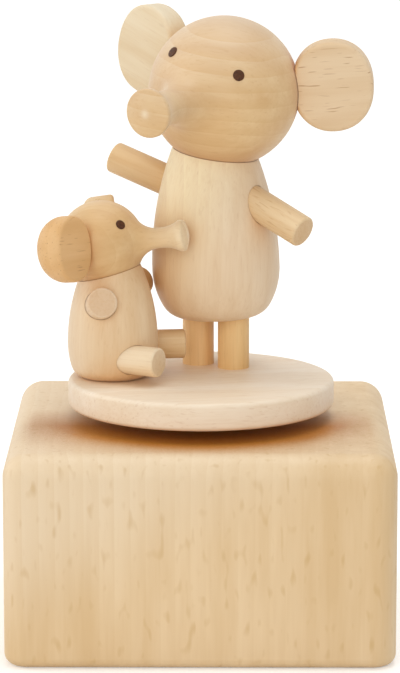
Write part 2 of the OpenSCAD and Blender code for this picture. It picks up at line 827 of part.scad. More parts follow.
// Folded frame: flange under the bedplate, cheek and tab for the arbors, leg and foot for the worm
module governor_frame() {
    side = 2.4;
    flange_y1 = governor_y + 4.6;
    leg_x = worm_x - 2.2;
    leg_w = axle_end - leg_x;
    color(brass)
        difference() {
            union() {
                translate([tab_x, leg_y - frame_t, flange_z])
                    cube([axle_end - tab_x, flange_y1 - leg_y + frame_t, frame_t]);
                translate([cheek_x, governor_y - side, axis_z - side])
                    cube([frame_t, side - governor_y + side, bed_z - axis_z + side]);
                translate([tab_x, governor_y - side, axis_z - 1.5])
                    cube([1, 1.6 + side, bed_z - axis_z + 1.5]);
                translate([leg_x, leg_y - frame_t, foot_z])
                    cube([leg_w, frame_t, bed_z - foot_z]);
                translate([leg_x, leg_y - frame_t, foot_z])
                    cube([leg_w, worm_y - leg_y + frame_t + 1.6, frame_t]);
            }
            rod(cheek_x - past / 4, axle_end + past, 0, axle_d + 2 * running_gap);
            rod(tab_x - past, axle_end + past, governor_y, governor_arbor_d + 2 * running_gap);
            translate([worm_x, worm_y, foot_z - past])
                cylinder(r = governor_arbor_r + running_gap, h = bed_z - foot_z + 2 * past);
            for (y = governor_screw_ys)
                translate([governor_screw_x, y, flange_z - past])
                    cylinder(d = machine_screw_d + 2 * glue_gap, h = frame_t + 2 * past);
        }
}

module governor_screws() {
    color(steel)
        for (y = governor_screw_ys)
            translate([governor_screw_x, y, flange_z])
                round_screw(machine_screw_d, machine_screw_head_d, machine_screw_head_h, governor_screw_l);
}

// TURNTABLE AND DRIVE

module mother_leg_places(side) {
    translate([mother_x, mother_y, disc_top - leg_seat])
        rotate(mother_face)
            translate([side * mother_leg_gap / 2, 0, 0])
                children();
}

module turntable_disc() {
    color(pale_beech)
        difference() {
            translate([0, 0, disc_z])
                rotate_extrude()
                    edge_section(disc_d / 2, disc_t, disc_edge_r, disc_edge_r);
            translate([0, 0, disc_z - past])
                cylinder(d = insert_d + 2 * glue_gap, h = insert_l + end_gap + past);
            for (s = [-1, 1])
                mother_leg_places(s)
                    dowel_bore(mother_leg_d, 2 * leg_seat);
            translate([baby_x, baby_y, disc_z])
                countersunk_bore(baby_screw_l);
        }
}

module hub_insert() {
    color(brass)
        difference() {
            union() {
                translate([0, 0, disc_z - insert_flange_t])
                    cylinder(d = insert_flange_d, h = insert_flange_t);
                translate([0, 0, disc_z])
                    cylinder(d = insert_d, h = insert_l);
            }
            translate([0, 0, disc_z - insert_flange_t - past])
                cylinder(d = arbor_d + 2 * glue_gap, h = insert_l + insert_flange_t + 2 * past);
        }
}

// Shaft from the ratchet up through the spring, the bedplate and the roof into the disc's insert
module winding_arbor() {
    color(steel) {
        translate([0, 0, arbor_z])
            cylinder(d = arbor_head_d, h = arbor_head_h);
        translate([0, 0, arbor_z])
            cylinder(d = arbor_d, h = disc_z + insert_l - arbor_z);
        translate([0, 0, drum_z + drum_floor + clear])
            cylinder(d = arbor_hub_d, h = bed_z - drum_z - drum_floor - 2 * clear);
    }
}

click_turn = 75;
click_pivot = [ratchet_r + 1.7, 5.6];
click_pin_r = 0.6;

module crown_wheel() {
    half = PI * crown_module / 4 - crown_slack / 2;
    lean = tan(pressure);
    sunk = 0.2;
    color(brass)
        difference() {
            union() {
                translate([0, 0, crown_z])
                    cylinder(r = crown_disc_r, h = crown_t);
                for (i = [0 : crown_teeth - 1])
                    rotate(360 * i / crown_teeth)
                        across(crown_in, 0, crown_pitch_z, crown_face)
                            polygon([
                                [-half - (crown_ded + sunk) * lean, -crown_ded - sunk],
                                [half + (crown_ded + sunk) * lean, -crown_ded - sunk],
                                [half - crown_add * lean, crown_add],
                                [-half + crown_add * lean, crown_add]
                            ]);
            }
            translate([0, 0, crown_z - past])
                cylinder(r = arbor_r + running_gap, h = crown_t + 2 * past);
            rotate(click_turn)
                translate([click_pivot.x, click_pivot.y, crown_z - past])
                    cylinder(r = click_pin_r + running_gap, h = crown_t + 2 * past);
        }
}

module ratchet_wheel() {
    root = ratchet_r - ratchet_depth;
    step = 360 / ratchet_teeth;
    drop = 1;
    color(steel)
        translate([0, 0, ratchet_z])
            difference() {
                linear_extrude(ratchet_t)
                    rotate(click_turn)
                        polygon([
                            for (i = [0 : ratchet_teeth - 1])
                                each [polar(root, i * step), polar(ratchet_r, (i + 1) * step - drop)]
                        ]);
                translate([0, 0, -past])
                    cylinder(r = arbor_r + glue_gap, h = ratchet_t + 2 * past);
            }
}

// Pawl that hangs under the crown wheel, with its nose in a tooth of the ratchet
module click() {
    gap = 0.15;
    root = ratchet_r - ratchet_depth;
    pivot_r = 1.3;
    color(steel)
        rotate(click_turn) {
            translate([0, 0, ratchet_z])
                linear_extrude(ratchet_t) {
                    polygon([
                        [root + gap, gap],
                        [ratchet_r, gap],
                        [click_pivot.x + 0.8, click_pivot.y - 0.9],
                        [click_pivot.x - 0.9, click_pivot.y]
                    ]);
                    translate(click_pivot)
                        circle(pivot_r);
                }
            translate([click_pivot.x, click_pivot.y, ratchet_z])
                cylinder(r = click_pin_r, h = crown_z + crown_t - ratchet_z);
        }
}

module baby_screw() {
    color(steel)
        translate([baby_x, baby_y, disc_z])
            countersunk_screw(baby_screw_l);
}

// CYLINDER

// Tube with pins: a made-up even scatter that plays no tune
module pin_cylinder() {
    cap = 1.2;
    root = 0.3;
    golden = 137.5;
    color(brass)
        difference() {
            union() {
                rod(cylinder_x, cylinder_x + cylinder_l, 0, cylinder_d);
                for (i = [0 : comb_teeth - 1], j = [0 : pins_per_tooth - 1])
                    translate([comb_x + (i + 0.5) * comb_pitch, 0, axis_z])
                        rotate([golden * i + 360 * (j + 0.3 * (i % 2)) / pins_per_tooth, 0, 0])
                            translate([0, 0, cylinder_r - root])
                                cylinder(d = pin_d, h = root + pin_h, $fn = 16);
            }
            rod(cylinder_x + cap, cylinder_x + cylinder_l + past / 4, 0, cylinder_d - 2 * cylinder_wall);
            rod(cylinder_x - past / 4, cylinder_x + 2 * cap, 0, axle_d + 2 * glue_gap);
        }
}

module cylinder_axle() {
    color(steel)
        rod(axle_start, axle_end, 0, axle_d);
}

module cylinder_pinion() {
    color(steel)
        difference() {
            across(crown_in, 0, axis_z, crown_face)
                gear_outline(pinion_teeth, crown_module, crown_add, crown_ded, crown_slack,
                    -90 + 180 / pinion_teeth);
            rod(crown_in - past / 4, crown_out + past / 4, 0, axle_d + 2 * glue_gap);
        }
}

// Wheel with a spigot that closes the cylinder's open end
module cylinder_wheel() {
    spigot = 1;
    color(brass)
        difference() {
            union() {
                across(wheel_x, 0, axis_z, wheel_t)
                    gear_outline(wheel_teeth, governor_module, worm_add, worm_ded, governor_slack, 180);
                rod(wheel_x - clear - spigot, wheel_x + wheel_t / 2, 0,
                    cylinder_d - 2 * cylinder_wall - 2 * glue_gap);
            }
            rod(wheel_x - clear - spigot - past, wheel_x + wheel_t + past / 4, 0, axle_d + 2 * glue_gap);
        }
}

// GOVERNOR

module governor_pinion() {
    color(steel) {
        across(wheel_x - 0.2, governor_y, axis_z, wheel_t + 0.4)
            gear_outline(governor_pinion_teeth, governor_module, worm_add, worm_ded, governor_slack,
                180 / governor_pinion_teeth);
        rod(tab_x, axle_end, governor_y, governor_arbor_d);
    }
}

// Straight-cut and thin, so that its teeth clear the worm's slanting thread
module worm_wheel() {
    slack = 0.3;
    color(brass)
        difference() {
            across(worm_wheel_x, governor_y, axis_z, wheel_t)
                gear_outline(worm_wheel_teeth, governor_module, worm_add, worm_ded, slack, 180);
            rod(worm_wheel_x - past, worm_wheel_x + wheel_t + past, governor_y,
                governor_arbor_d + 2 * glue_gap);
        }
}

// One right-hand thread on the governor's upright arbor
module governor_worm() {
    root_r = worm_r - worm_ded;
    tip_r = worm_r + worm_add;
    half = worm_lead * 0.16;
    slope = (worm_add + worm_ded) * tan(pressure);
    steps = 20;
    turn = 360 * worm_l / worm_lead;
    function thread_r(s) =
        let(edge = abs(s) - half + worm_add * tan(pressure))
        edge <= 0 ? tip_r : edge >= slope ? root_r : tip_r - (tip_r - root_r) * edge / slope;
    color(brass) {
        translate([worm_x, worm_y, worm_z])
            rotate(-90 - turn / 2)
                linear_extrude(worm_l, twist = -turn, slices = round(turn / 24), $fn = steps)
                    polygon([
                        for (k = [0 : steps - 1])
                            polar(thread_r(worm_lead * (k / steps - 0.5)), 360 * (k / steps - 0.5))
                    ]);
        translate([worm_x, worm_y, foot_z + clear])
            cylinder(r = governor_arbor_r, h = bed_z - foot_z - clear);
    }
}

// Hub with two flat blades that beat the air
module governor_fan() {
    hub_r = 1.3;
    color(steel)
        translate([worm_x, worm_y, fan_z])
            difference() {
                union() {
                    cylinder(r = hub_r, h = fan_h);
                    translate([-fan_r, -fan_t / 2, 0])
                        cube([2 * fan_r, fan_t, fan_h]);
                }
                translate([0, 0, -past])
                    cylinder(r = governor_arbor_r + glue_gap, h = fan_h + 2 * past);
            }
}

// FIGURES

// Half section of a turned body: rounded foot, low arc to the widest ring, long flank above
module body_section(r, belly_h, h, low_r, bottom_r, flank_r) {
    // The foot stands back by this much, so that the two arcs don't meet exactly tangent
    step = 0.03;
    low_c = [r - low_r, belly_h];
    foot_c = [low_c.x + sqrt(pow(low_r - bottom_r, 2) - pow(belly_h - bottom_r, 2)), bottom_r];
    joint = low_c + low_r / (low_r - bottom_r) * (foot_c - low_c);
    bottom_c = foot_c - [step, 0];
    square([bottom_c.x, joint.y]);
    intersection() {
        translate(bottom_c)
            circle(bottom_r);
        translate([bottom_c.x, -past])
            square([2 * bottom_r, joint.y + past]);
    }
    intersection() {
        translate(low_c)
            circle(low_r);
        translate([0, joint.y])
            square([2 * r, belly_h - joint.y]);
    }
    intersection() {
        translate([r - flank_r, belly_h])
            circle(flank_r);
        translate([0, belly_h])
            square([2 * r, h - belly_h]);
    }
}

// Half section of a turned head: ball, hollow blend, trunk and flared, domed tip along Y
module head_section(r, trunk_r, tip_r, trunk_l) {
    blend_r = head_blend * r;
    sink = 0.02;
    blend_c = [trunk_r + blend_r, sqrt(pow(r - sink + blend_r, 2) - pow(trunk_r + blend_r, 2))];
    flare_h = tip_r - trunk_r;
    flare_l = 1.15 * tip_r;
    flare_r = (pow(flare_l, 2) + pow(flare_h, 2)) / (2 * flare_h);
    flare_y = trunk_l - tip_dome - tip_rim - flare_l;
    dome_r = (pow(tip_r, 2) + pow(tip_dome, 2)) / (2 * tip_dome);
    intersection() {
        circle(r);
        translate([0, -2 * r])
            square([2 * r, 4 * r]);
    }
    difference() {
        polygon([[0, 0], blend_c, [0, blend_c.y]]);
        translate(blend_c)
            circle(blend_r);
    }
    if (flare_y > blend_c.y)
        translate([0, blend_c.y])
            square([trunk_r, flare_y - blend_c.y]);
    // Core that runs through all the pieces of the section
    square([trunk_r / 2, flare_y + flare_l]);
    difference() {
        intersection() {
            translate([0, flare_y])
                square([tip_r, flare_l + tip_rim + 2 * tip_dome]);
            translate([0, trunk_l - dome_r])
                circle(dome_r);
        }
        translate([trunk_r + flare_r, flare_y])
            circle(flare_r);
    }
}

module head_shape(r, trunk_r, tip_r, trunk_l) {
    rotate([90, 0, 0])
        rotate_extrude()
            head_section(r, trunk_r, tip_r, trunk_l);
}

// Places children on a head, with the trunk along -Y
module on_mother_head() {
    translate(mother_head_c)
        rotate(mother_face)
            rotate([-mother_head_pitch, mother_head_roll, 0])
                children();
}

module on_baby_head() {
    translate(baby_head_c)
        rotate(baby_face)
            rotate([-baby_head_pitch, 0, 0])
                children();
}

// Turns -Y towards an ear, to the figure's left where turn is positive
module towards_ear(turn, rise) {
    rotate([-rise, 0, turn])
        children();
}

// Oval disc with a domed back, coved on the inside to sit on the head
module ear_shape(turn, rise, w, h, t, dome_r, reach, head_r) {
    back = sign(turn);
    function oval(a) = [
        w / 2 * sign(cos(a)) * pow(abs(cos(a)), 2 / ear_square),
        h / 2 * sign(sin(a)) * pow(abs(sin(a)), 2 / ear_square)
    ];
    difference() {
        towards_ear(turn, rise)
            intersection() {
                translate([back > 0 ? -t / 2 : -t / 2 - past, -reach, 0])
                    rotate([90, 0, 90])
                        linear_extrude(t + past)
                            polygon([for (k = [0 : ear_points - 1]) oval(360 * (k + 0.5) / ear_points)]);
                translate([back * (t / 2 - dome_r), -reach, 0])
                    sphere(dome_r);
            }
        sphere(head_r + seam);
        towards_ear(turn, rise)
            ear_dowel_place(head_r)
                dowel_bore(ear_dowel_d, 2 * ear_dowel_in);
    }
}

module ear_dowel_place(head_r) {
    rotate([90, 0, 0])
        translate([0, 0, head_r - ear_dowel_in])
            children();
}

module ear_dowel_pair(head_r, rise, turns) {
    for (turn = turns)
        towards_ear(turn, rise)
            ear_dowel_place(head_r)
                dowel(ear_dowel_d, 2 * ear_dowel_in);
}

module eye_places(rise, turn, shift, lean) {
    rotate([0, lean, shift])
        for (s = [-1, 1])
            aim([0, 0, 0], s * turn, rise)
                children();
}

module eye_pair(d, head_r, rise, turn, shift, lean) {
    intersection() {
        eye_places(rise, turn, shift, lean)
            translate([0, 0, head_r - eye_depth])
                cylinder(d = d, h = eye_depth + past);
        sphere(head_r + eye_proud);
    }
}

module ear_bores(head_r, rise, turns) {
    for (turn = turns)
        towards_ear(turn, rise)
            ear_dowel_place(head_r)
                dowel_bore(ear_dowel_d, 2 * ear_dowel_in);
}

module eye_bores(d, head_r, rise, turn, shift, lean) {
    eye_places(rise, turn, shift, lean)
        translate([0, 0, head_r - eye_depth - end_gap])
            cylinder(d = d + 2 * glue_gap, h = eye_depth + end_gap + past);
}

module mother_neck_place() {
    translate([mother_x, mother_y, mother_neck_z - neck_in])
        children();
}

module mother_arm_place(side) {
    left = side > 0;
    aim(
        [mother_x, mother_y, mother_z + (left ? mother_arm_left_h : mother_arm_right_h)],
        mother_face + side * mother_arm_turn,
        left ? mother_arm_left_rise : mother_arm_right_rise
    )
        translate([0, 0, mother_arm_in])
            children();
}

module mother_body() {
    color(beech)
        difference() {
            translate([mother_x, mother_y, mother_z + mother_belly_h])
                rotate([0, -mother_body_lean, 0])
                    translate([0, 0, -mother_belly_h])
                        rotate(mother_face + 90)
                            rotate_extrude()
                                body_section(mother_body_r, mother_belly_h, mother_body_h, mother_low_r,
                                    mother_bottom_r, mother_flank_r);
            translate(mother_head_c)
                sphere(mother_head_r + seam);
            mother_neck_place()
                dowel_bore(mother_neck_d, 2 * neck_in);
            mother_arm_place(1)
                dowel_bore(mother_arm_d, mother_arm_left_l);
            mother_arm_place(-1)
                dowel_bore(mother_arm_d, mother_arm_right_l);
            for (s = [-1, 1])
                mother_leg_places(s)
                    dowel_bore(mother_leg_d, leg_seat + mother_leg_h + leg_in);
        }
}

module mother_head() {
    color(beech)
        difference() {
            on_mother_head()
                head_shape(mother_head_r, mother_trunk_r, mother_tip_r, mother_trunk_l);
            on_mother_head() {
                ear_bores(mother_head_r, mother_ear_rise, mother_ear_turns);
                eye_bores(mother_eye_d, mother_head_r, mother_eye_rise, mother_eye_turn,
                    mother_eye_shift, mother_eye_lean);
            }
            mother_neck_place()
                dowel_bore(mother_neck_d, 2 * neck_in);
        }
}

module mother_neck_dowel() {
    color(dowel_wood)
        mother_neck_place()
            dowel(mother_neck_d, 2 * neck_in);
}

module mother_ear_left() {
    color(beech)
        on_mother_head()
            ear_shape(mother_ear_turns[0], mother_ear_rise, mother_ear_w, mother_ear_h, mother_ear_t,
                mother_ear_dome_r, mother_ear_reach, mother_head_r);
}

module mother_ear_right() {
    color(beech)
        on_mother_head()
            ear_shape(mother_ear_turns[1], mother_ear_rise, mother_ear_w, mother_ear_h, mother_ear_t,
                mother_ear_dome_r, mother_ear_reach, mother_head_r);
}

module mother_ear_dowels() {
    color(dowel_wood)
        on_mother_head()
            ear_dowel_pair(mother_head_r, mother_ear_rise, mother_ear_turns);
}

module mother_eyes() {
    color(dark_wood)
        on_mother_head()
            eye_pair(mother_eye_d, mother_head_r, mother_eye_rise, mother_eye_turn,
                mother_eye_shift, mother_eye_lean);
}

module mother_arm_left() {
    color(dowel_wood)
        mother_arm_place(1)
            dowel(mother_arm_d, mother_arm_left_l - mother_arm_in);
}

module mother_arm_right() {
    color(dowel_wood)
        mother_arm_place(-1)
            dowel(mother_arm_d, mother_arm_right_l - mother_arm_in);
}

module mother_leg(side) {
    color(dowel_wood)
        mother_leg_places(side)
            dowel(mother_leg_d, leg_seat + mother_leg_h + leg_in);
}

module mother_leg_left() {
    mother_leg(1);
}

module mother_leg_right() {
    mother_leg(-1);
}

module baby_neck_place() {
    translate([baby_x, baby_y, baby_neck_z - neck_in])
        children();
}

module baby_arm_place(side) {
    left = side > 0;
    back = left ? 0 : baby_arm_right_back;
    aim(
        [
            baby_x - back * baby_ahead.x,
            baby_y - back * baby_ahead.y,
            disc_top + (left ? baby_arm_left_h : baby_arm_right_h)
        ],
        baby_face + (left ? baby_arm_left_turn : -baby_arm_right_turn),
        left ? baby_arm_left_rise : baby_arm_right_rise
    )
        translate([0, 0, baby_arm_in])
            children();
}

module baby_leg_place(side) {
    left = side > 0;
    translate([baby_x, baby_y, disc_top + baby_leg_h + (left ? baby_leg_left_lift : 0)])
        rotate(baby_face)
            aim(
                [side * baby_leg_gap / 2, 0, 0],
                left ? baby_leg_left_splay : -baby_leg_right_splay,
                0
            )
                translate([0, 0, baby_leg_in])
                    children();
}

module baby_body() {
    color(beech)
        difference() {
            translate([baby_x, baby_y, disc_top])
                rotate(baby_face + 90)
                    rotate_extrude()
                        body_section(baby_body_r, baby_belly_h, baby_body_h, baby_low_r, baby_bottom_r,
                            baby_flank_r);
            translate(baby_head_c)
                sphere(baby_head_r + seam);
            baby_neck_place()
                dowel_bore(baby_neck_d, 2 * neck_in);
            for (s = [-1, 1]) {
                baby_arm_place(s)
                    dowel_bore(baby_arm_d, baby_arm_left_l);
                baby_leg_place(s)
                    dowel_bore(baby_leg_d, baby_leg_left_l);
            }
            translate([baby_x, baby_y, disc_z])
                countersunk_bore(baby_screw_l);
        }
}

module baby_head() {
    color(beech)
        difference() {
            on_baby_head()
                head_shape(baby_head_r, baby_trunk_r, baby_tip_r, baby_trunk_l);
            on_baby_head() {
                ear_bores(baby_head_r, baby_ear_rise, baby_ear_turns);
                eye_bores(baby_eye_d, baby_head_r, baby_eye_rise, baby_eye_turn, 0, 0);
            }
            baby_neck_place()
                dowel_bore(baby_neck_d, 2 * neck_in);
        }
}

module baby_neck_dowel() {
    color(dowel_wood)
        baby_neck_place()
            dowel(baby_neck_d, 2 * neck_in);
}

module baby_ear_left() {
    color(beech)
        on_baby_head()
            ear_shape(baby_ear_turns[0], baby_ear_rise, baby_ear_w, baby_ear_h, baby_ear_t,
                baby_ear_dome_r, baby_ear_reach, baby_head_r);
}

module baby_ear_right() {
    color(beech)
        on_baby_head()
            ear_shape(baby_ear_turns[1], baby_ear_rise, baby_ear_w, baby_ear_h, baby_ear_t,
                baby_ear_dome_r, baby_ear_reach, baby_head_r);
}

module baby_ear_dowels() {
    color(dowel_wood)
        on_baby_head()
            ear_dowel_pair(baby_head_r, baby_ear_rise, baby_ear_turns);
}

module baby_eyes() {
    color(dark_wood)
        on_baby_head()
            eye_pair(baby_eye_d, baby_head_r, baby_eye_rise, baby_eye_turn, 0, 0);
}

module baby_arm(side) {
    color(dowel_wood)
        baby_arm_place(side)
            dowel(baby_arm_d, (side > 0 ? baby_arm_left_l : baby_arm_right_l) - baby_arm_in);
}

module baby_arm_left() {
    baby_arm(1);
}

module baby_arm_right() {
    baby_arm(-1);
}

module baby_leg(side) {
    color(dowel_wood)
        baby_leg_place(side)
            dowel(baby_leg_d, (side > 0 ? baby_leg_left_l : baby_leg_right_l) - baby_leg_in);
}

module baby_leg_left() {
    baby_leg(1);
}

module baby_leg_right() {
    baby_leg(-1);
}

base_block();
bottom_cover();
cover_screws();
bedplate();
movement_screws();
spring_housing();
mainspring();
comb();
comb_screws();
governor_frame();
governor_screws();
turntable_disc();
hub_insert();
winding_arbor();
crown_wheel();
ratchet_wheel();
click();
baby_screw();
pin_cylinder();
cylinder_axle();
cylinder_pinion();
cylinder_wheel();
governor_pinion();
worm_wheel();
governor_worm();
governor_fan();
mother_body();
mother_head();
mother_neck_dowel();
mother_ear_left();
mother_ear_right();
mother_ear_dowels();
mother_eyes();
mother_arm_left();
mother_arm_right();
mother_leg_left();
mother_leg_right();
baby_body();
baby_head();
baby_neck_dowel();
baby_ear_left();
baby_ear_right();
baby_ear_dowels();
baby_eyes();
baby_arm_left();
baby_arm_right();
baby_leg_left();
baby_leg_right();
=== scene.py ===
import json
from math import asin, atan2, copysign, cos, degrees, pi, radians, sin, sqrt

import bmesh
import bpy
from mathutils import Euler, Matrix, Vector


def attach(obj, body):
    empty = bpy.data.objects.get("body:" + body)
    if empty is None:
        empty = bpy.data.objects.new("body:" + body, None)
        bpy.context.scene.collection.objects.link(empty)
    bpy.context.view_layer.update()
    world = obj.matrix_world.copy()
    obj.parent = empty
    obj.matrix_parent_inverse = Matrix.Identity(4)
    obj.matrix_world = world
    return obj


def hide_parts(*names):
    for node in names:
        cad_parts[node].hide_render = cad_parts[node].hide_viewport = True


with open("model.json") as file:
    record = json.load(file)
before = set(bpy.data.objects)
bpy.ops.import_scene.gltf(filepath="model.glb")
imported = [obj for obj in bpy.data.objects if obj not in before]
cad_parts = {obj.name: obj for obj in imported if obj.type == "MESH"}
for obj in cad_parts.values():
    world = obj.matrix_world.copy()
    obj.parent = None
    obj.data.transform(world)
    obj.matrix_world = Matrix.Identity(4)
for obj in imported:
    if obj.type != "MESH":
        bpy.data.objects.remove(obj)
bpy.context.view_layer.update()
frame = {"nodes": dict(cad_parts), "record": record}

mm = 0.001  # sizes are in millimetres, apart from the stage's, and angles in degrees
hair = 0.001  # points or heights closer than this count as one
sharpAngle = 34  # edges that turn more than this stay crisp
print("frame loaded, nodes:", len(frame["nodes"]))


def hexLinear(code):  # sRGB hex to linear RGBA
    parts = [int(code[i:i + 2], 16) / 255 for i in (1, 3, 5)]
    return [p / 12.92 if p <= 0.04045 else ((p + 0.055) / 1.055) ** 2.4 for p in parts] + [1.0]


def addNode(tree, kind, links=None, stops=(), **settings):  # one node with its settings, values and links
    node = tree.nodes.new(kind)
    for key, value in settings.items():
        setattr(node, key, value)
    for socket, source in (links or {}).items():
        if isinstance(source, bpy.types.NodeSocket):
            tree.links.new(source, node.inputs[socket])
        else:
            node.inputs[socket].default_value = source
    for number, (position, colour) in enumerate(stops):  # the two ends of a colour ramp
        node.color_ramp.elements[number].position = position
        node.color_ramp.elements[number].color = hexLinear(colour)
    return node


def newMaterial(name):
    material = bpy.data.materials.new(name)
    material.use_nodes = True
    material.node_tree.nodes.clear()
    return material, material.node_tree


# Beech, sanded, under thin matt oil: pale pinkish straw, a broad drift of tone, close straight fibres
# and the short brown spindles of its rays. A paler drift is sapwood on some pieces and painted light on
# others;
# sawn ends are browner, and painted shade makes corners and close shade warmer and darker. The grain runs
# along the material's own Z.
beechLook = dict(
    light="#ecd5b2", dark="#dfc196", fibre="#cfa672", fleck="#b98a56",
    toneCell=(6.0, 46.0), toneStops=(0.34, 0.68),  # broad drift of tone, across and along the grain
    ringCell=(3.2, 28.8), ringAmount=0.22,  # growth rings
    fibreCell=(0.6, 16.0), fibreRange=(0.46, 0.74),  # really 0.1 mm wide: drawn coarser so that they show
    fibreAmount=0.22,
    fleckCell=(0.42, 2.6), fleckStart=0.68, fleckSoft=0.1, fleckAmount=0.4,  # rays
    sapwoodAndPaintedLight="#f0dec2", paleDriftAmount=0.8,
    paleDriftSide=(0, 0, 1), paleDriftStart=500, paleDriftEnd=600,  # paler drift, mm along its side: sapwood on the block, painted light on the heads and the mother's body
    # painted shade: colour made warmer and darker in corners and close shade, wherever ambient occlusion
    # finds something near
    oil="#efcd9c", paintedShadeAmount=0.8,
    paintedShadeReach=10, paintedShadeDeep=0.2, paintedShadeOpen=0.88,  # reach of the painted shade in a corner, and the openness with all and none of it
    paintedShadeSide=(0, 0, 1), paintedShadeStart=-2, paintedShadeEnd=-1,  # drift that the painted shade is kept to, mm along its side
    mark="#f4e6cc", endGrain="#c79a66",  # a pale spot at the trunk tip's centre, and sawn ends
    roughness=(0.44, 0.58), sheen=0.0, bump=0.03)


def beech(name, grain=(0, 0, 0), place=(0, 0, 0), **changes):  # place: what part of a plank it is cut from
    look = dict(beechLook, **changes)
    material, tree = newMaterial(name)
    point = addNode(tree, "ShaderNodeTexCoord").outputs["Object"]
    own = addNode(tree, "ShaderNodeMapping", {
        "Vector": point, "Location": [p * mm for p in place],
        "Rotation": [radians(a) for a in grain]}, vector_type="TEXTURE")

    cells = {}
    for pattern in ("tone", "ring", "fibre", "fleck"):  # the piece measured in grain cells
        across, along = [1 / (size * mm) for size in look[pattern + "Cell"]]
        cells[pattern] = addNode(tree, "ShaderNodeMapping", {
            "Vector": own.outputs[0], "Scale": (across, across, along)}).outputs[0]
    noise = {}
    for pattern, detail, roughness in (("tone", 3.0, 0.55), ("fibre", 4.0, 0.6), ("fleck", 0.0, 0.5)):
        noise[pattern] = addNode(tree, "ShaderNodeTexNoise", {
            "Vector": cells[pattern], "Scale": 1.0, "Detail": detail, "Roughness": roughness}).outputs["Fac"]
    rings = addNode(tree, "ShaderNodeTexWave", {
        "Vector": cells["ring"], "Scale": 0.32, "Distortion": 3.2, "Detail": 2.0, "Detail Scale": 0.7},
        wave_type="BANDS", bands_direction="X", wave_profile="SAW")
    drift = {}
    for side in ("paleDriftSide", "paintedShadeSide"):
        drift[side] = addNode(tree, "ShaderNodeVectorMath", {0: point, 1: look[side]},
                              operation="DOT_PRODUCT").outputs["Value"]

    # paler drift: sapwood on the block, painted light on the figures' heads and the mother's flank
    paleDriftShare = addNode(tree, "ShaderNodeMapRange", {
        "Value": drift["paleDriftSide"], "From Min": look["paleDriftStart"] * mm, "From Max": look["paleDriftEnd"] * mm,
        "To Min": 0.0, "To Max": look["paleDriftAmount"]}, interpolation_type="SMOOTHSTEP")
    ringShare = addNode(tree, "ShaderNodeMath", {0: rings.outputs["Fac"], 1: look["ringAmount"]},
                        operation="MULTIPLY")
    fibreShare = addNode(tree, "ShaderNodeMapRange", {
        "Value": noise["fibre"], "From Min": look["fibreRange"][0], "From Max": look["fibreRange"][1],
        "To Min": 0.0, "To Max": look["fibreAmount"]})
    fleckShare = addNode(tree, "ShaderNodeMapRange", {
        "Value": noise["fleck"], "From Min": look["fleckStart"],
        "From Max": look["fleckStart"] + look["fleckSoft"],
        "To Min": 0.0, "To Max": look["fleckAmount"]})
    mark = addNode(tree, "ShaderNodeAttribute", attribute_name="paleTipSpot")  # 0 where a piece has none
    sawn = addNode(tree, "ShaderNodeAttribute", attribute_name="endGrain")
    base = addNode(tree, "ShaderNodeValToRGB", {"Fac": noise["tone"]},
                   stops=zip(look["toneStops"], (look["light"], look["dark"])))
    colour = base.outputs[0]
    for share, coat in ((paleDriftShare.outputs[0], "sapwoodAndPaintedLight"), (ringShare.outputs[0], "dark"),
                        (fibreShare.outputs[0], "fibre"), (fleckShare.outputs[0], "fleck"),
                        (mark.outputs["Fac"], "mark"), (sawn.outputs["Fac"], "endGrain")):
        colour = addNode(tree, "ShaderNodeMix", {  # 6, 7 and output 2 are the Mix node's colours
            "Factor": share, 6: colour, 7: hexLinear(look[coat])}, data_type="RGBA").outputs[2]

    # painted shade: ambient occlusion makes corners and close shade warmer and darker
    corner = addNode(tree, "ShaderNodeAmbientOcclusion", {"Distance": look["paintedShadeReach"] * mm}, samples=8)
    paintedShadeLimit = addNode(tree, "ShaderNodeMapRange", {
        "Value": drift["paintedShadeSide"], "From Min": look["paintedShadeStart"] * mm, "From Max": look["paintedShadeEnd"] * mm,
        "To Min": 0.0, "To Max": look["paintedShadeAmount"]})
    paintedShadeShare = addNode(tree, "ShaderNodeMapRange", {
        "Value": corner.outputs["AO"], "From Min": look["paintedShadeDeep"], "From Max": look["paintedShadeOpen"],
        "To Min": paintedShadeLimit.outputs[0], "To Max": 0.0})
    withPaintedShade = addNode(tree, "ShaderNodeMix", {
        "Factor": paintedShadeShare.outputs[0], 6: colour, 7: hexLinear(look["oil"])},
        data_type="RGBA", blend_type="MULTIPLY")

    rough = addNode(tree, "ShaderNodeMapRange", {
        "Value": noise["fibre"], "From Min": 0.3, "From Max": 0.7,
        "To Min": look["roughness"][0], "To Max": look["roughness"][1]})
    bump = addNode(tree, "ShaderNodeBump", {
        "Height": noise["fibre"], "Strength": 0.5, "Distance": look["bump"] * mm})
    shader = addNode(tree, "ShaderNodeBsdfPrincipled", {
        "Base Color": withPaintedShade.outputs[2], "Roughness": rough.outputs[0], "Normal": bump.outputs[0],
        "IOR": 1.46, "Sheen Weight": look["sheen"], "Sheen Roughness": 0.5})
    addNode(tree, "ShaderNodeOutputMaterial", {"Surface": shader.outputs[0]})
    return material


# Stained hardwood pegs, sanded and sealed: deep brown with a soft highlight
pegLook = dict(dark="#3a1c08", light="#5f3412", grit=0.5, roughness=0.5, bump=0.03)


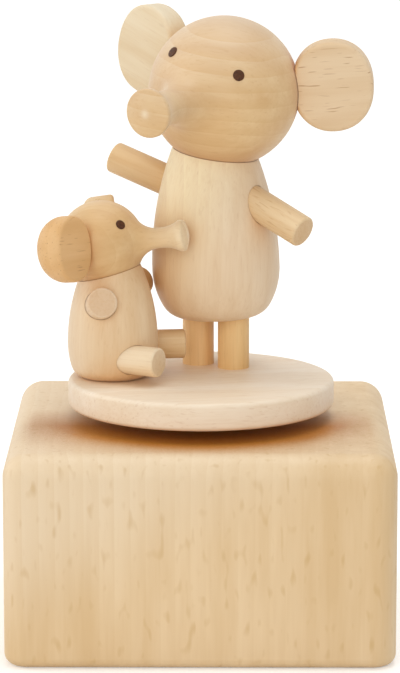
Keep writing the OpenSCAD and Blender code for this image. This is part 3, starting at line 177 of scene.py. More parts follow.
def stainedPeg(name, look):
    material, tree = newMaterial(name)
    coords = addNode(tree, "ShaderNodeTexCoord")
    grit = addNode(tree, "ShaderNodeMapping", {
        "Vector": coords.outputs["Object"], "Scale": [1 / (look["grit"] * mm)] * 3})
    noise = addNode(tree, "ShaderNodeTexNoise", {"Vector": grit.outputs[0], "Scale": 1.0, "Detail": 3.0})
    ramp = addNode(tree, "ShaderNodeValToRGB", {"Fac": noise.outputs["Fac"]},
                   stops=((0.3, look["dark"]), (0.75, look["light"])))
    bump = addNode(tree, "ShaderNodeBump", {
        "Height": noise.outputs["Fac"], "Strength": 0.4, "Distance": look["bump"] * mm})
    shader = addNode(tree, "ShaderNodeBsdfPrincipled", {
        "Base Color": ramp.outputs[0], "Roughness": look["roughness"], "IOR": 1.5,
        "Specular IOR Level": 0.3, "Normal": bump.outputs[0]})
    addNode(tree, "ShaderNodeOutputMaterial", {"Surface": shader.outputs[0]})
    return material


# Movement metals, brushed brass and steel and cast zinc: faint handling marks in tone and gloss
metalLook = {
    "brass": dict(name="brushedBrass", bright="#d8b25f", worn="#b98f45", roughness=0.3, line=(0.2, 4.0)),
    "steel": dict(name="brushedSteel", bright="#b9bcc0", worn="#94989c", roughness=0.32, line=(0.15, 5.0)),
    "zinc_alloy": dict(name="castZinc", bright="#9ea2a5", worn="#85898c", roughness=0.48, line=(0.8, 1.0))}


def workedMetal(look):
    material, tree = newMaterial(look["name"])
    coords = addNode(tree, "ShaderNodeTexCoord")
    across, along = [1 / (size * mm) for size in look["line"]]  # brush lines
    lines = addNode(tree, "ShaderNodeMapping", {
        "Vector": coords.outputs["Object"], "Scale": (along, across, across)})
    brush = addNode(tree, "ShaderNodeTexNoise", {"Vector": lines.outputs[0], "Scale": 1.0, "Detail": 3.0})
    ramp = addNode(tree, "ShaderNodeValToRGB", {"Fac": brush.outputs["Fac"]},
                   stops=((0.35, look["worn"]), (0.65, look["bright"])))
    gloss = addNode(tree, "ShaderNodeMapRange", {
        "Value": brush.outputs["Fac"], "To Min": look["roughness"] - 0.08, "To Max": look["roughness"] + 0.1})
    bump = addNode(tree, "ShaderNodeBump", {
        "Height": brush.outputs["Fac"], "Strength": 0.3, "Distance": 0.02 * mm})
    shader = addNode(tree, "ShaderNodeBsdfPrincipled", {
        "Base Color": ramp.outputs[0], "Metallic": 1.0, "Roughness": gloss.outputs[0],
        "Normal": bump.outputs[0]})
    addNode(tree, "ShaderNodeOutputMaterial", {"Surface": shader.outputs[0]})
    return material


def turnMatrix(x=0, y=0, z=0):  # turns about X, then Y, then Z
    return Euler((radians(x), radians(y), radians(z)), "XYZ").to_matrix().to_4x4()


def matrixAngles(matrix):
    return [degrees(a) for a in matrix.to_euler("XYZ")]


def stretchTo(bm, vert, point):  # pulls a new vertex out of the last one
    pulled = bmesh.ops.extrude_vert_indiv(bm, verts=[vert])["verts"][0]
    pulled.co = Vector(point)
    return pulled


def bend(bm, vert, centre, turn, steps):  # arc in the XZ section, anticlockwise
    swept = bmesh.ops.spin(bm, geom=[vert], cent=centre, axis=(0, 1, 0), angle=-radians(turn),
                           steps=steps, use_merge=False)
    return [v for v in swept["geom_last"] if isinstance(v, bmesh.types.BMVert)][0]


def turnOnLathe(bm, steps):  # spins the section about Z into a closed skin
    bmesh.ops.spin(bm, geom=bm.verts[:] + bm.edges[:], cent=(0, 0, 0), axis=(0, 0, 1), angle=2 * pi,
                   steps=steps, use_merge=True)
    bmesh.ops.remove_doubles(bm, verts=bm.verts[:], dist=hair / 2)


def roundEdges(bm, edges, offset, segments):
    bmesh.ops.bevel(bm, geom=edges, offset=offset, affect="EDGES", segments=segments, profile=0.5,
                    material=-1)


def box(x0, x1, y0, y1, z0, z1):
    bm = bmesh.new()
    bmesh.ops.create_cube(bm, size=1)
    middle = Matrix.Translation(((x0 + x1) / 2, (y0 + y1) / 2, (z0 + z1) / 2))
    bmesh.ops.transform(bm, matrix=middle @ Matrix.Diagonal((x1 - x0, y1 - y0, z1 - z0, 1)),
                        verts=bm.verts[:])
    return bm


def roundedPrism(sides, z0, z1, corner, steps=8):  # sides: x0, x1, y0, y1
    bm = box(*sides, z0, z1)
    upright = [e for e in bm.edges if abs(e.verts[0].co.z - e.verts[1].co.z) > hair]
    roundEdges(bm, upright, corner, steps)
    return bm


def rod(dia, z0, z1, place=None, segments=72):
    bm = bmesh.new()
    middle = Matrix.Translation((0, 0, (z0 + z1) / 2))
    bmesh.ops.create_cone(bm, cap_ends=True, segments=segments, radius1=dia / 2, radius2=dia / 2,
                          depth=z1 - z0, matrix=(place or Matrix()) @ middle)
    return bm


def toMesh(bm, name):
    mesh = bpy.data.meshes.new(name)
    bm.to_mesh(mesh)
    bm.free()
    return mesh


def addObject(name, data):
    thing = bpy.data.objects.new(name, data)
    bpy.context.scene.collection.objects.link(thing)
    return thing


def finishPiece(bm, name, material, body, nodes, place=None):  # its place goes into the mesh
    bmesh.ops.transform(bm, matrix=Matrix.Scale(mm, 4) @ (place or Matrix()), verts=bm.verts[:])
    bmesh.ops.recalc_face_normals(bm, faces=bm.faces[:])
    mesh = toMesh(bm, name)
    mesh.shade_smooth()
    mesh.set_sharp_from_angle(angle=radians(sharpAngle))
    mesh.materials.append(material)
    piece = addObject(name, mesh)
    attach(piece, body)
    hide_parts(*nodes)
    return piece


def carve(piece, cutters):  # cuts simple shapes out of a piece, then drops them
    for bm in cutters:
        bmesh.ops.transform(bm, matrix=Matrix.Scale(mm, 4), verts=bm.verts[:])
        bmesh.ops.recalc_face_normals(bm, faces=bm.faces[:])
        shape = toMesh(bm, "cutter")
        cutter = addObject("cutter", shape)
        cut = piece.modifiers.new("cut", "BOOLEAN")
        cut.operation, cut.solver, cut.object = "DIFFERENCE", "EXACT", cutter
        bpy.context.view_layer.update()
        shown = piece.evaluated_get(bpy.context.evaluated_depsgraph_get())
        carved = bpy.data.meshes.new_from_object(shown)
        piece.modifiers.remove(cut)
        old, piece.data = piece.data, carved
        bpy.data.objects.remove(cutter)
        bpy.data.meshes.remove(shape)
        bpy.data.meshes.remove(old)
        carved.name = piece.name
    piece.data.set_sharp_from_angle(angle=radians(sharpAngle))


# Base block: hollowed from below, with a rabbet for its cover and a hole for the arbor
blockSpec = dict(
    width=80, height=44.2, edge=5, edgeSteps=14, foot=2.5, footSteps=8, holeDia=7, hole=(20, 60),
    pocket=(-12.4, 33.58, -23.6, 24.75), pocketCorner=4, roof=36.2,
    cover=71.5, coverCorner=6, coverTop=4.5, below=-1,  # the cutters start below the block
    wood=dict(place=(300, 210, 0), light="#e9cfa8", dark="#dcbd8f", fibreAmount=0.08,
              fleck="#c0964c", fleckCell=(1.2, 3.6), fleckAmount=0.36, fleckStart=0.66, fleckSoft=0.24,
              sapwoodAndPaintedLight="#ecd8ba", paleDriftSide=(-0.45, 0, 0.88), paleDriftStart=18, paleDriftEnd=42,
              # painted shade: a warmer, darker band on the top in front of and under the disc, kept to the
              # block's front
              oil="#c99242", paintedShadeReach=30, paintedShadeAmount=1.0, paintedShadeDeep=0.74, paintedShadeOpen=1.0,
              paintedShadeSide=(0, -0.25, 0.97), paintedShadeStart=41.5, paintedShadeEnd=45.5))


def makeBlock(spec):
    half, cover, below = spec["width"] / 2, spec["cover"] / 2, spec["below"]
    bm = box(-half, half, -half, half, 0, spec["height"])
    soft = [e for e in bm.edges if max(v.co.z for v in e.verts) > hair]
    roundEdges(bm, soft, spec["edge"], spec["edgeSteps"])
    foot = [e for e in bm.edges if max(v.co.z for v in e.verts) < hair and len(e.link_faces) == 2]
    roundEdges(bm, foot, spec["foot"], spec["footSteps"])
    block = finishPiece(bm, "baseBlock", beech("blockBeech", **spec["wood"]), "base", ["base_block"])
    carve(block, [
        roundedPrism(spec["pocket"], below, spec["roof"], spec["pocketCorner"]),
        roundedPrism((-cover, cover, -cover, cover), below, spec["coverTop"], spec["coverCorner"]),
        rod(spec["holeDia"], *spec["hole"])])


makeBlock(blockSpec)
print("base block made")

# Turntable disc, the palest piece
discSpec = dict(
    radius=28, bottom=46.8, thick=5.8, edge=1.0, edgeSteps=5, steps=144,
    # the disc keeps a light painted shade in its corners
    wood=dict(grain=(0, 90, 8), place=(120, 400, 31), light="#f8ebd8", dark="#efddc4",
              fibreAmount=0.16, fleckAmount=0.16, paintedShadeAmount=0.3))


def makeDisc(spec):
    r, t, e = spec["radius"], spec["thick"], spec["edge"]
    bm = bmesh.new()
    vert = stretchTo(bm, bm.verts.new((0, 0, 0)), (r / 2, 0, 0))
    vert = stretchTo(bm, vert, (r - e, 0, 0))
    vert = bend(bm, vert, (r - e, 0, e), 90, spec["edgeSteps"])
    vert = stretchTo(bm, vert, (r, 0, t - e))
    vert = bend(bm, vert, (r - e, 0, t - e), 90, spec["edgeSteps"])
    vert = stretchTo(bm, vert, (r / 2, 0, t))
    stretchTo(bm, vert, (0, 0, t))
    turnOnLathe(bm, spec["steps"])
    finishPiece(bm, "turntableDisc", beech("discBeech", **spec["wood"]), "turntable", ["turntable_disc"],
                Matrix.Translation((0, 0, spec["bottom"])))


makeDisc(discSpec)
print("disc made")

# The two figures: place on the disc, the way they face, and the sizes of their turned pieces
discTop = discSpec["bottom"] + discSpec["thick"]
legShown = 10.8  # how high the mother stands above the disc
seam = 0.12  # gap between a coved face and the ball it seats on
figureSteps = 112
motherSpec = dict(
    x=3.1, y=12.6, z=discTop + legShown, face=-31,
    bodyR=13.6, belly=10.5, bodyH=37, lowR=16, bottomR=5, flankR=70, lean=1.6,
    headH=48.3, headSide=2.0, headBack=0, headR=16, roll=8, pitch=-2.5,
    trunkL=31.2, trunkR=3.7, tipR=5.1,
    earW=17.2, earH=19.2, earT=6.8, earDome=40, earReach=23, earRise=10, earEdge=0.9,
    earBack={"left": 1.0, "right": 1.0}, earTurns={"left": 119, "right": -106},
    eyeD=2.4, eyeTurn=35.5, eyeShift=2.5, eyeLean=6.5, eyeRise=30,
    headGrain=(0, 90, 20), grainShift=0)
babySpec = dict(
    x=-18.6, y=0.6, z=discTop, face=77,
    bodyR=9.5, belly=7.4, bodyH=24, lowR=17.6, bottomR=3.2, flankR=40, lean=0,
    headH=28.2, headSide=0, headBack=2.4, headR=9.15, roll=0, pitch=8,
    trunkL=19, trunkR=2.15, tipR=3.3,
    earW=11.4, earH=13.8, earT=8, earDome=11.5, earReach=14.2, earRise=6, earEdge=0.8,
    earBack={"left": 1.0, "right": 2.8}, earTurns={"left": 106, "right": -111},
    eyeD=2.1, eyeTurn=40, eyeShift=0, eyeLean=0, eyeRise=28,
    headGrain=(90, 0, 0), grainShift=37)


def headPlace(spec):  # the head's middle and its matrix, with the trunk along -Y
    a = radians(spec["face"])
    middle = Vector((
        spec["x"] + spec["headSide"] * cos(a) - spec["headBack"] * sin(a),
        spec["y"] + spec["headSide"] * sin(a) + spec["headBack"] * cos(a),
        spec["z"] + spec["headH"]))
    return middle, Matrix.Translation(middle) @ turnMatrix(-spec["pitch"], spec["roll"], spec["face"])


# Turned body: rounded foot, low arc to the belly, long flank, and a cove on top for the head
bodyShape = dict(footSteps=10, lowSteps=14, flankSteps=26, topRings=(0.85, 0.65, 0.45, 0.25, 0), halvings=30)


def makeBody(who, spec, wood):
    r, belly, top, flank = spec["bodyR"], spec["belly"], spec["bodyH"], spec["flankR"]
    lowC = (r - spec["lowR"], belly)
    span, rise = spec["lowR"] - spec["bottomR"], belly - spec["bottomR"]
    footC = (lowC[0] + sqrt(span ** 2 - rise ** 2), spec["bottomR"])
    meet = degrees(atan2(footC[1] - lowC[1], footC[0] - lowC[0]))
    bm = bmesh.new()
    vert = stretchTo(bm, bm.verts.new((0, 0, 0)), (footC[0], 0, 0))
    vert = bend(bm, vert, (footC[0], 0, footC[1]), 90 + meet, bodyShape["footSteps"])
    vert = bend(bm, vert, (lowC[0], 0, lowC[1]), -meet, bodyShape["lowSteps"])
    flankTurn = degrees(asin((top - belly) / flank))
    vert = bend(bm, vert, (r - flank, 0, belly), flankTurn, bodyShape["flankSteps"])
    rim = vert.co.x
    for share in bodyShape["topRings"]:
        vert = stretchTo(bm, vert, (rim * share, 0, top))
    turnOnLathe(bm, figureSteps)
    place = (Matrix.Translation((spec["x"], spec["y"], spec["z"] + belly)) @ turnMatrix(0, -spec["lean"], 0)
             @ Matrix.Translation((0, 0, -belly)))
    away = place.inverted() @ headPlace(spec)[0]
    ball = spec["headR"] + seam

    def flankR(z):
        return r - flank + sqrt(flank ** 2 - (z - belly) ** 2)

    def coveZ(x, y):  # height of the head's underside
        return away.z - sqrt(max(ball ** 2 - (x - away.x) ** 2 - (y - away.y) ** 2, 0))

    for v in bm.verts:  # cove the top to the head
        if v.co.z <= belly + hair:
            continue
        a = atan2(v.co.y, v.co.x)
        low, high = belly, top
        for _ in range(bodyShape["halvings"]):  # closes in on where this side meets the ball
            mid = (low + high) / 2
            reach = flankR(mid)
            low, high = (mid, high) if mid < coveZ(reach * cos(a), reach * sin(a)) else (low, mid)
        if v.co.z > top - hair and v.co.xy.length < rim - hair:
            reach = flankR(low) * v.co.xy.length / rim
            height = coveZ(reach * cos(a), reach * sin(a))
        else:
            height = belly + (v.co.z - belly) * (low - belly) / (top - belly)
            reach = flankR(height)
        v.co = (reach * cos(a), reach * sin(a), height)
    return finishPiece(bm, who + "Body", wood, "turntable", [who + "_body"], place)


# Turned head: ball, hollow blend, trunk and a flared, domed tip with an eased edge
headShape = dict(
    blend=0.6, rim=0.9, flare=1.15, dome=1.0,
    tipRound=0.5, tipRings=(0.3, 0.6, 0.85), tipBow=0.9,
    ballSteps=56, blendSteps=18, flareSteps=12, domeSteps=8,
    markR=1.3, mark=0.7)  # paler spot at the centre of the trunk's tip


def makeHead(who, spec, wood):
    r, trunk, tip, length = spec["headR"], spec["trunkR"], spec["tipR"], spec["trunkL"]
    blend, dome, soft = headShape["blend"] * r, headShape["dome"], headShape["tipRound"]
    blendC = (trunk + blend, sqrt((r + blend) ** 2 - (trunk + blend) ** 2))
    flareL = headShape["flare"] * tip
    flareR = (flareL ** 2 + (tip - trunk) ** 2) / (2 * (tip - trunk))
    flareZ = length - dome - headShape["rim"] - flareL
    lean = degrees(atan2(blendC[1], blendC[0]))
    domeR = (tip ** 2 + dome ** 2) / (2 * dome)
    domeTurn = degrees(asin((tip - soft) / domeR))
    bm = bmesh.new()
    vert = bend(bm, bm.verts.new((0, 0, -r)), (0, 0, 0), 90 + lean, headShape["ballSteps"])
    vert = bend(bm, vert, (blendC[0], 0, blendC[1]), -lean, headShape["blendSteps"])
    vert = stretchTo(bm, vert, (trunk, 0, flareZ))
    flareTurn = degrees(asin(flareL / flareR))
    vert = bend(bm, vert, (trunk + flareR, 0, flareZ), -flareTurn, headShape["flareSteps"])
    vert = stretchTo(bm, vert, (tip, 0, length - dome - soft / 2))
    edge = vert.co.copy()
    shoulder = Vector((tip - soft, 0, length - domeR + sqrt(domeR ** 2 - (tip - soft) ** 2)))
    for share in headShape["tipRings"]:  # bows out between the edge and the shoulder
        bow = Vector((1, 0, 1)) * soft * headShape["tipBow"] * share * (1 - share)
        vert = stretchTo(bm, vert, edge.lerp(shoulder, share) + bow)
    vert = stretchTo(bm, vert, shoulder)
    bend(bm, vert, (0, 0, length - domeR), domeTurn, headShape["domeSteps"])
    turnOnLathe(bm, figureSteps)
    layer = bm.verts.layers.float.new("paleTipSpot")
    for v in bm.verts:
        if v.co.z > flareZ:
            v[layer] = max(0, 1 - v.co.xy.length / headShape["markR"]) * headShape["mark"]
    finishPiece(bm, who + "Head", wood, "turntable", [who + "_head"],
                headPlace(spec)[1] @ turnMatrix(90, 0, 0))


# Ear: oval disc, flat in front, domed behind, coved to sit on the head
earShape = dict(
    oval=2.15,  # 2 is an ellipse, more is squarer
    rings=(1.0, 0.99, 0.965, 0.93, 0.88, 0.8, 0.66, 0.48, 0.3, 0.14),  # shares of the outline, for the back
    rimTurn=40, rimSteps=4, steps=128, cuts=7)


def makeEar(who, spec, sideName, wood):
    w, h, t, domeR = spec["earW"] / 2, spec["earH"] / 2, spec["earT"], spec["earDome"]
    turn = spec["earTurns"][sideName]
    back, power = copysign(1, turn), 2 / earShape["oval"]
    bm = bmesh.new()
    outline = bmesh.ops.create_circle(bm, cap_ends=True, segments=earShape["steps"], radius=1)["verts"]
    for v in outline:  # circle to rounded oval, standing across X
        a = atan2(v.co.y, v.co.x)
        v.co = (-back * t / 2, copysign(w * abs(cos(a)) ** power, cos(a)),
                copysign(h * abs(sin(a)) ** power, sin(a)))
    cap, before, soft = bm.faces[:], 1.0, spec["earBack"][sideName]
    for number, share in enumerate(earShape["rings"]):
        pushed = bmesh.ops.extrude_face_region(bm, geom=cap, use_keep_orig=number == 0)["geom"]
        verts = [v for v in pushed if isinstance(v, bmesh.types.BMVert)]
        bmesh.ops.scale(bm, vec=(1, share / before, share / before), verts=verts)
        for v in verts:
            out = v.co.yz.length
            over = max(0, out - out / share + soft)  # how far into the rounded shoulder
            drop = soft - sqrt(max(0, soft ** 2 - over ** 2))
            v.co.x = back * (t / 2 - domeR + sqrt(domeR ** 2 - out ** 2) - drop)
        if number:
            bmesh.ops.delete(bm, geom=[f for f in cap if f.is_valid], context="FACES_ONLY")
        cap, before = [f for f in pushed if isinstance(f, bmesh.types.BMFace)], share
    bmesh.ops.recalc_face_normals(bm, faces=bm.faces[:])
    rimTurn = radians(earShape["rimTurn"])
    rims = [e for e in bm.edges if len(e.link_faces) == 2 and e.calc_face_angle(0) > rimTurn]
    roundEdges(bm, rims, spec["earEdge"], earShape["rimSteps"])
    across = [e for e in bm.edges if abs(e.verts[0].co.x - e.verts[1].co.x) > t / 4]
    bmesh.ops.subdivide_edges(bm, edges=across, cuts=earShape["cuts"], use_grid_fill=True)
    bmesh.ops.translate(bm, vec=(0, -spec["earReach"], 0), verts=bm.verts[:])
    ball = spec["headR"] + seam
    for v in bm.verts:  # cove the inner side to the head
        if v.co.length < ball:
            v.co.y = -sqrt(ball ** 2 - v.co.x ** 2 - v.co.z ** 2)
    finishPiece(bm, who + "Ear" + sideName.title(), wood, "turntable", [who + "_ear_" + sideName],
                headPlace(spec)[1] @ turnMatrix(-spec["earRise"], 0, turn))


# Eye pegs, a little proud of the head
eyeShape = dict(proud=0.2, depth=2.4, soft=0.15, softTurn=70, softSteps=3, rings=(0.6, 0.3, 0), steps=32)


def makeEyes(who, spec, wood):
    radius, ball = spec["eyeD"] / 2, spec["headR"] + eyeShape["proud"]
    inner, soft = spec["headR"] - eyeShape["depth"], eyeShape["soft"]
    rimZ = sqrt(ball ** 2 - radius ** 2)
    bm = bmesh.new()
    for side in (-1, 1):
        peg = bmesh.new()
        vert = stretchTo(peg, peg.verts.new((0, 0, inner)), (radius, 0, inner))
        vert = stretchTo(peg, vert, (radius, 0, rimZ - soft))
        vert = bend(peg, vert, (radius - soft, 0, rimZ - soft), eyeShape["softTurn"], eyeShape["softSteps"])
        for share in eyeShape["rings"]:
            vert = stretchTo(peg, vert, (radius * share, 0, sqrt(ball ** 2 - (radius * share) ** 2)))
        turnOnLathe(peg, eyeShape["steps"])
        place = (headPlace(spec)[1] @ turnMatrix(0, spec["eyeLean"], spec["eyeShift"])
                 @ turnMatrix(90 - spec["eyeRise"], 0, side * spec["eyeTurn"]))
        bmesh.ops.transform(peg, matrix=place, verts=peg.verts[:])
        shape = toMesh(peg, "peg")
        bm.from_mesh(shape)
        bpy.data.meshes.remove(shape)
    finishPiece(bm, who + "Eyes", wood, "turntable", [who + "_eyes"])


# What the figures' woods share, then what each piece has of its own
figureLook = dict(
    # bodies: painted shade where the figures crowd each other
    body=dict(light="#ebd5b7", dark="#dfc39f", fibreAmount=0.16, fleckAmount=0.1, sheen=0.12,
              oil="#eec283", paintedShadeReach=14, paintedShadeAmount=0.45),
    # heads: painted light as a paler drift towards the top-left, and painted shade in their corners
    head=dict(light="#e4c594", dark="#d3aa73", fibreAmount=0.24, fleckAmount=0.14, ringAmount=0.4,
              sheen=0.3, oil="#e3b273", sapwoodAndPaintedLight="#e0cab0", paleDriftAmount=0.55,
              paleDriftSide=(-0.3, 0, 0.95), paleDriftStart=98, paleDriftEnd=120),
    ear=dict(fibreAmount=0.14, fleck="#a9784a", fleckCell=(0.34, 3.4), fleckAmount=0.62, fleckStart=0.72))
figureTones = dict(
    mother=dict(
        # painted light: the body paler up its left flank, where the baby's head and trunk keep light off;
        # painted shade on the head reaches 22 mm
        body=dict(sapwoodAndPaintedLight="#f8eac5", paleDriftSide=(-0.8, 0, 0.4), paleDriftStart=26, paleDriftEnd=42, paleDriftAmount=0.9),
        head=dict(paintedShadeReach=22),
        left=dict(light="#e9d1af", dark="#dbbc93"),
        right=dict(light="#eadbbe", dark="#dfc9a5", fleckAmount=0.1)),
    baby=dict(
        body=dict(light="#ebd2ae", dark="#dfbf95", sapwoodAndPaintedLight="#e8d4b8",
                  paleDriftSide=(-1, 0, 0), paleDriftStart=20, paleDriftEnd=28),
        # painted light: the head paler towards its trunk; its painted shade reaches only 8 mm
        head=dict(paintedShadeReach=8, sapwoodAndPaintedLight="#f5e2bf", paleDriftAmount=0.9,
                  paleDriftSide=(1, 0, 0), paleDriftStart=-14, paleDriftEnd=-4),
        left=dict(light="#e6cca4", dark="#d8b98b"),
        right=dict(light="#e6be8a", dark="#d6a76c")))
eyeWood = stainedPeg("stainedPeg", pegLook)
bodies = {}
for who, spec in (("mother", motherSpec), ("baby", babySpec)):
    middle, headMatrix = headPlace(spec)
    tones, shift = figureTones[who], spec["grainShift"]
    bodies[who] = makeBody(who, spec, beech(
        who + "BodyBeech", place=(90 + shift, 40, shift), grain=(0, 2, 0),
        **dict(figureLook["body"], **tones["body"])))
    makeHead(who, spec, beech(
        who + "HeadBeech", place=middle + Vector((70, 30 + shift, 0)),
        grain=matrixAngles(headMatrix @ turnMatrix(*spec["headGrain"])),
        **dict(figureLook["head"], **tones["head"])))
    for sideName, turn in spec["earTurns"].items():
        earMatrix = headMatrix @ turnMatrix(-spec["earRise"], 0, turn)
        makeEar(who, spec, sideName, beech(
            who + "Ear" + sideName.title() + "Beech", place=middle + Vector((shift, turn / 2, 21)),
            grain=matrixAngles(earMatrix @ turnMatrix(90, 0, 0)),
            **dict(figureLook["ear"], **tones[sideName])))
    makeEyes(who, spec, eyeWood)
    print(who, "turned pieces made")

# Dowel limbs, glued in bores that show as a fine dark line
limbShape = dict(chamfer=0.5, chamferSteps=4, play=0.18, boreSteps=64, endGrain=0.3)
# limbs: a light painted shade in their corners
limbLook = dict(light="#e8cea4", dark="#d9b482", fibreAmount=0.26, fleckAmount=0.1, paintedShadeAmount=0.3)
motherLimbs = dict(
    armD=6.7, armIn=6.2, armTurn=83,
    arms={"arm_left": (1, 29.7, -22, 25.0), "arm_right": (-1, 24.5, 19, 25.4)},  # side, height, rise, reach
    legD=6.7, legGap=8.8, legSunk=3, legUp=8,  # how deep in the disc and in the body
    legs={"leg_left": 1, "leg_right": -1},  # side
    tones={"arm_left": dict(light="#ecd4ae", dark="#dfc093", fleckAmount=0.3, fleckStart=0.66),
           # painted light: the legs are paler than the arms, against the body's shade on them
           "leg_left": dict(light="#f2d39e", dark="#e7bf83"),
           "leg_right": dict(light="#fce0ae", dark="#f2cc94")})
babyLimbs = dict(
    armD=6.4, armIn=5.7,
    arms={"arm_left": (76, 7, 17, 0, 12.6),  # turn, rise, height, back, reach
          "arm_right": (-70, 17, 14.2, 3.3, 11.8)},
    legD=6.2, legIn=3.6, legH=5, legGap=9,
    legs={"leg_left": (1, 20, 0.8, 14.2), "leg_right": (-1, -17, 0, 12.6)},  # side, splay, lift, reach
    tones={"arm_right": dict(light="#e9d2b4", dark="#dcbe9c"),
           "leg_right": dict(light="#f6e6cc", dark="#ebd4b0", endGrain="#b98a4c")})


def aim(point, turn, rise):  # Z along a direction: turn from the front, rise above level
    return Matrix.Translation(point) @ turnMatrix(90 - rise, 0, turn)


def makeLimb(who, limb, place, dia, length, tones, boreFrom=-0.5, borePast=12):  # gives back its bore
    bm = rod(dia, 0, length)
    ends = [e for e in bm.edges if abs(e.verts[0].co.z - e.verts[1].co.z) < hair]
    roundEdges(bm, ends, limbShape["chamfer"], limbShape["chamferSteps"])
    layer = bm.verts.layers.float.new("endGrain")  # sawn ends take the oil and darken
    for v in bm.verts:
        if min(v.co.z, length - v.co.z) < hair:
            v[layer] = limbShape["endGrain"]
    name = who + "".join(part.title() for part in limb.split("_"))
    wood = beech(name + "Beech", grain=matrixAngles(place), place=place.translation + Vector((17, 31, 5)),
                 **dict(limbLook, **tones.get(limb, {})))
    finishPiece(bm, name, wood, "turntable", [who + "_" + limb], place)
    return rod(dia + limbShape["play"], boreFrom, length + borePast, place, limbShape["boreSteps"])


def makeMotherLimbs(spec, limbs):
    bores = []
    for limb, (side, height, rise, reach) in limbs["arms"].items():
        root = (spec["x"], spec["y"], spec["z"] + height)
        place = (aim(root, spec["face"] + side * limbs["armTurn"], rise)
                 @ Matrix.Translation((0, 0, limbs["armIn"])))
        bores.append(makeLimb("mother", limb, place, limbs["armD"], reach - limbs["armIn"], limbs["tones"]))
    foot = (spec["x"], spec["y"], discTop - limbs["legSunk"])
    length = limbs["legSunk"] + legShown + limbs["legUp"]
    for limb, side in limbs["legs"].items():
        place = (Matrix.Translation(foot) @ turnMatrix(0, 0, spec["face"])
                 @ Matrix.Translation((side * limbs["legGap"] / 2, 0, 0)))
        bores.append(makeLimb("mother", limb, place, limbs["legD"], length, limbs["tones"],
                              boreFrom=-2, borePast=0.3))
    carve(bodies["mother"], bores)


def makeBabyLimbs(spec, limbs):
    bores = []
    a = radians(spec["face"])
    for limb, (turn, rise, height, back, reach) in limbs["arms"].items():
        root = (spec["x"] - back * sin(a), spec["y"] + back * cos(a), spec["z"] + height)
        place = aim(root, spec["face"] + turn, rise) @ Matrix.Translation((0, 0, limbs["armIn"]))
        bores.append(makeLimb("baby", limb, place, limbs["armD"], reach - limbs["armIn"], limbs["tones"]))
    for limb, (side, splay, lift, reach) in limbs["legs"].items():
        place = (Matrix.Translation((spec["x"], spec["y"], spec["z"] + limbs["legH"] + lift))
                 @ turnMatrix(0, 0, spec["face"]) @ aim((side * limbs["legGap"] / 2, 0, 0), splay, 0)
                 @ Matrix.Translation((0, 0, limbs["legIn"])))
        bores.append(makeLimb("baby", limb, place, limbs["legD"], reach - limbs["legIn"], limbs["tones"]))
    carve(bodies["baby"], bores)


makeMotherLimbs(motherSpec, motherLimbs)
makeBabyLimbs(babySpec, babyLimbs)
print("limbs made")

# Finishes on the CAD pieces that stay
slotFinish = {
    "beech": beech("innerBeech"),
    "pale_beech": beech("coverBeech", grain=(0, 90, 90), light="#ecd6b4", dark="#dfc198"),
    "dowel_beech": beech("pegBeech", **limbLook),
    "dark_wood": eyeWood}
for slot, look in metalLook.items():
    slotFinish[slot] = workedMetal(look)
for part in frame["record"]["subparts"]:
    mesh = frame["nodes"][part["node"]].data
    mesh.materials.clear()
    mesh.materials.append(slotFinish[part["material_slot"]])
print("inner pieces finished")

# Floor and light, in metres: the floor's lift for the lens grows from nearR to farR, as the lamps fall off
stageSpec = dict(
    floorSize=6.0, floorColour="#f4f3f1", liftNear=0.32, liftFar=0.56, nearR=0.16, farR=1.6,
    sky=0.52, lampsAim=(0, 0, 0.06),
    lamps=dict(
        front=dict(at=(-0.3, -1.34, 0.5), size=1.2, watts=7.2, colour="#fff7ec"),
        top=dict(at=(0.12, 0.1, 1.25), size=0.6, watts=5.0, colour="#fbfdff"),
        left=dict(at=(-1.25, 0.25, 0.55), size=0.8, watts=4.0, colour="#fff8ec")))


def whiteForLens(tree):  # 1 where the camera, a reflection or a refraction looks
    rays = addNode(tree, "ShaderNodeLightPath").outputs
    seen = addNode(tree, "ShaderNodeMath", {0: rays["Is Camera Ray"], 1: rays["Is Glossy Ray"]},
                   operation="MAXIMUM")
    return addNode(tree, "ShaderNodeMath", {0: seen.outputs[0], 1: rays["Is Transmission Ray"]},
                   operation="MAXIMUM").outputs[0]


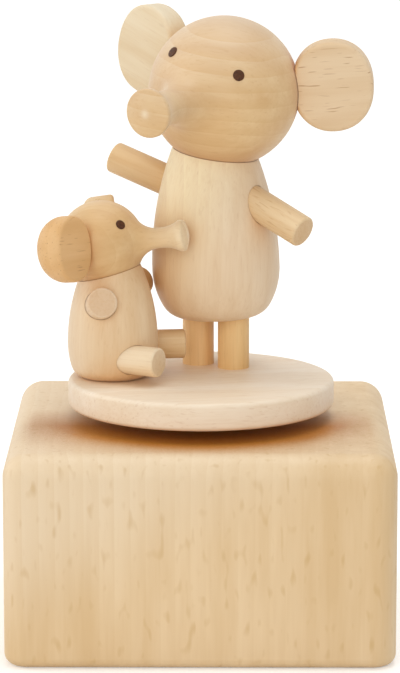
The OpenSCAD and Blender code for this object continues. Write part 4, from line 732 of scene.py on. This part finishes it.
def makeStage(spec):
    bm = bmesh.new()
    bmesh.ops.create_grid(bm, x_segments=1, y_segments=1, size=spec["floorSize"] / 2)
    floor = addObject("studioFloor", toMesh(bm, "studioFloor"))
    material, tree = newMaterial("studioPaper")  # matt white paper, lifted for the lens and still shadowed
    coords = addNode(tree, "ShaderNodeTexCoord")
    away = addNode(tree, "ShaderNodeVectorMath", {0: coords.outputs["Object"]}, operation="LENGTH")
    even = addNode(tree, "ShaderNodeMapRange", {
        "Value": away.outputs["Value"], "From Min": spec["nearR"], "From Max": spec["farR"],
        "To Min": spec["liftNear"], "To Max": spec["liftFar"]})
    lift = addNode(tree, "ShaderNodeMath", {0: whiteForLens(tree), 1: even.outputs[0]},
                   operation="MULTIPLY")
    paper = addNode(tree, "ShaderNodeBsdfDiffuse", {"Color": hexLinear(spec["floorColour"])})
    glow = addNode(tree, "ShaderNodeEmission", {"Strength": lift.outputs[0]})
    both = addNode(tree, "ShaderNodeAddShader", {0: paper.outputs[0], 1: glow.outputs[0]})
    addNode(tree, "ShaderNodeOutputMaterial", {"Surface": both.outputs[0]})
    floor.data.materials.append(material)

    world = bpy.data.worlds.new("studioSky")  # white for the lens, plain soft light for the object
    bpy.context.scene.world = world
    world.use_nodes = True
    tree = world.node_tree
    tree.nodes.clear()
    level = addNode(tree, "ShaderNodeMapRange", {
        "Value": whiteForLens(tree), "To Min": spec["sky"], "To Max": 1.0})
    sky = addNode(tree, "ShaderNodeBackground", {"Color": (1, 1, 1, 1), "Strength": level.outputs[0]})
    addNode(tree, "ShaderNodeOutputWorld", {"Surface": sky.outputs[0]})

    for name, lamp in spec["lamps"].items():
        light = bpy.data.lights.new(name, "AREA")
        light.size, light.energy, light.color = lamp["size"], lamp["watts"], hexLinear(lamp["colour"])[:3]
        holder = addObject(name, light)
        holder.location = lamp["at"]
        beam = Vector(spec["lampsAim"]) - Vector(lamp["at"])
        holder.rotation_euler = beam.to_track_quat("-Z", "Y").to_euler()


# Camera at the photograph's angle, fitted to the outlines of the block and the disc
cameraSpec = dict(at=(4.164, -747.247, 208.030), pitch=11.1154, yaw=-0.33627,
                  focalPx=3615.19, image=(400, 673), sensor=36)


def makeCamera(spec):
    lens = bpy.data.cameras.new("camera")
    lens.sensor_width = spec["sensor"]
    lens.sensor_fit = "AUTO"
    lens.lens = spec["focalPx"] * spec["sensor"] / max(spec["image"])
    lens.clip_start, lens.clip_end = 0.01, 50
    camera = addObject("camera", lens)
    camera.location = [v * mm for v in spec["at"]]
    camera.rotation_euler = (radians(90 - spec["pitch"]), 0, radians(-spec["yaw"]))
    bpy.context.scene.camera = camera


makeStage(stageSpec)
makeCamera(cameraSpec)
bpy.context.scene.view_settings.view_transform = "Standard"
print("stage, light and camera set")
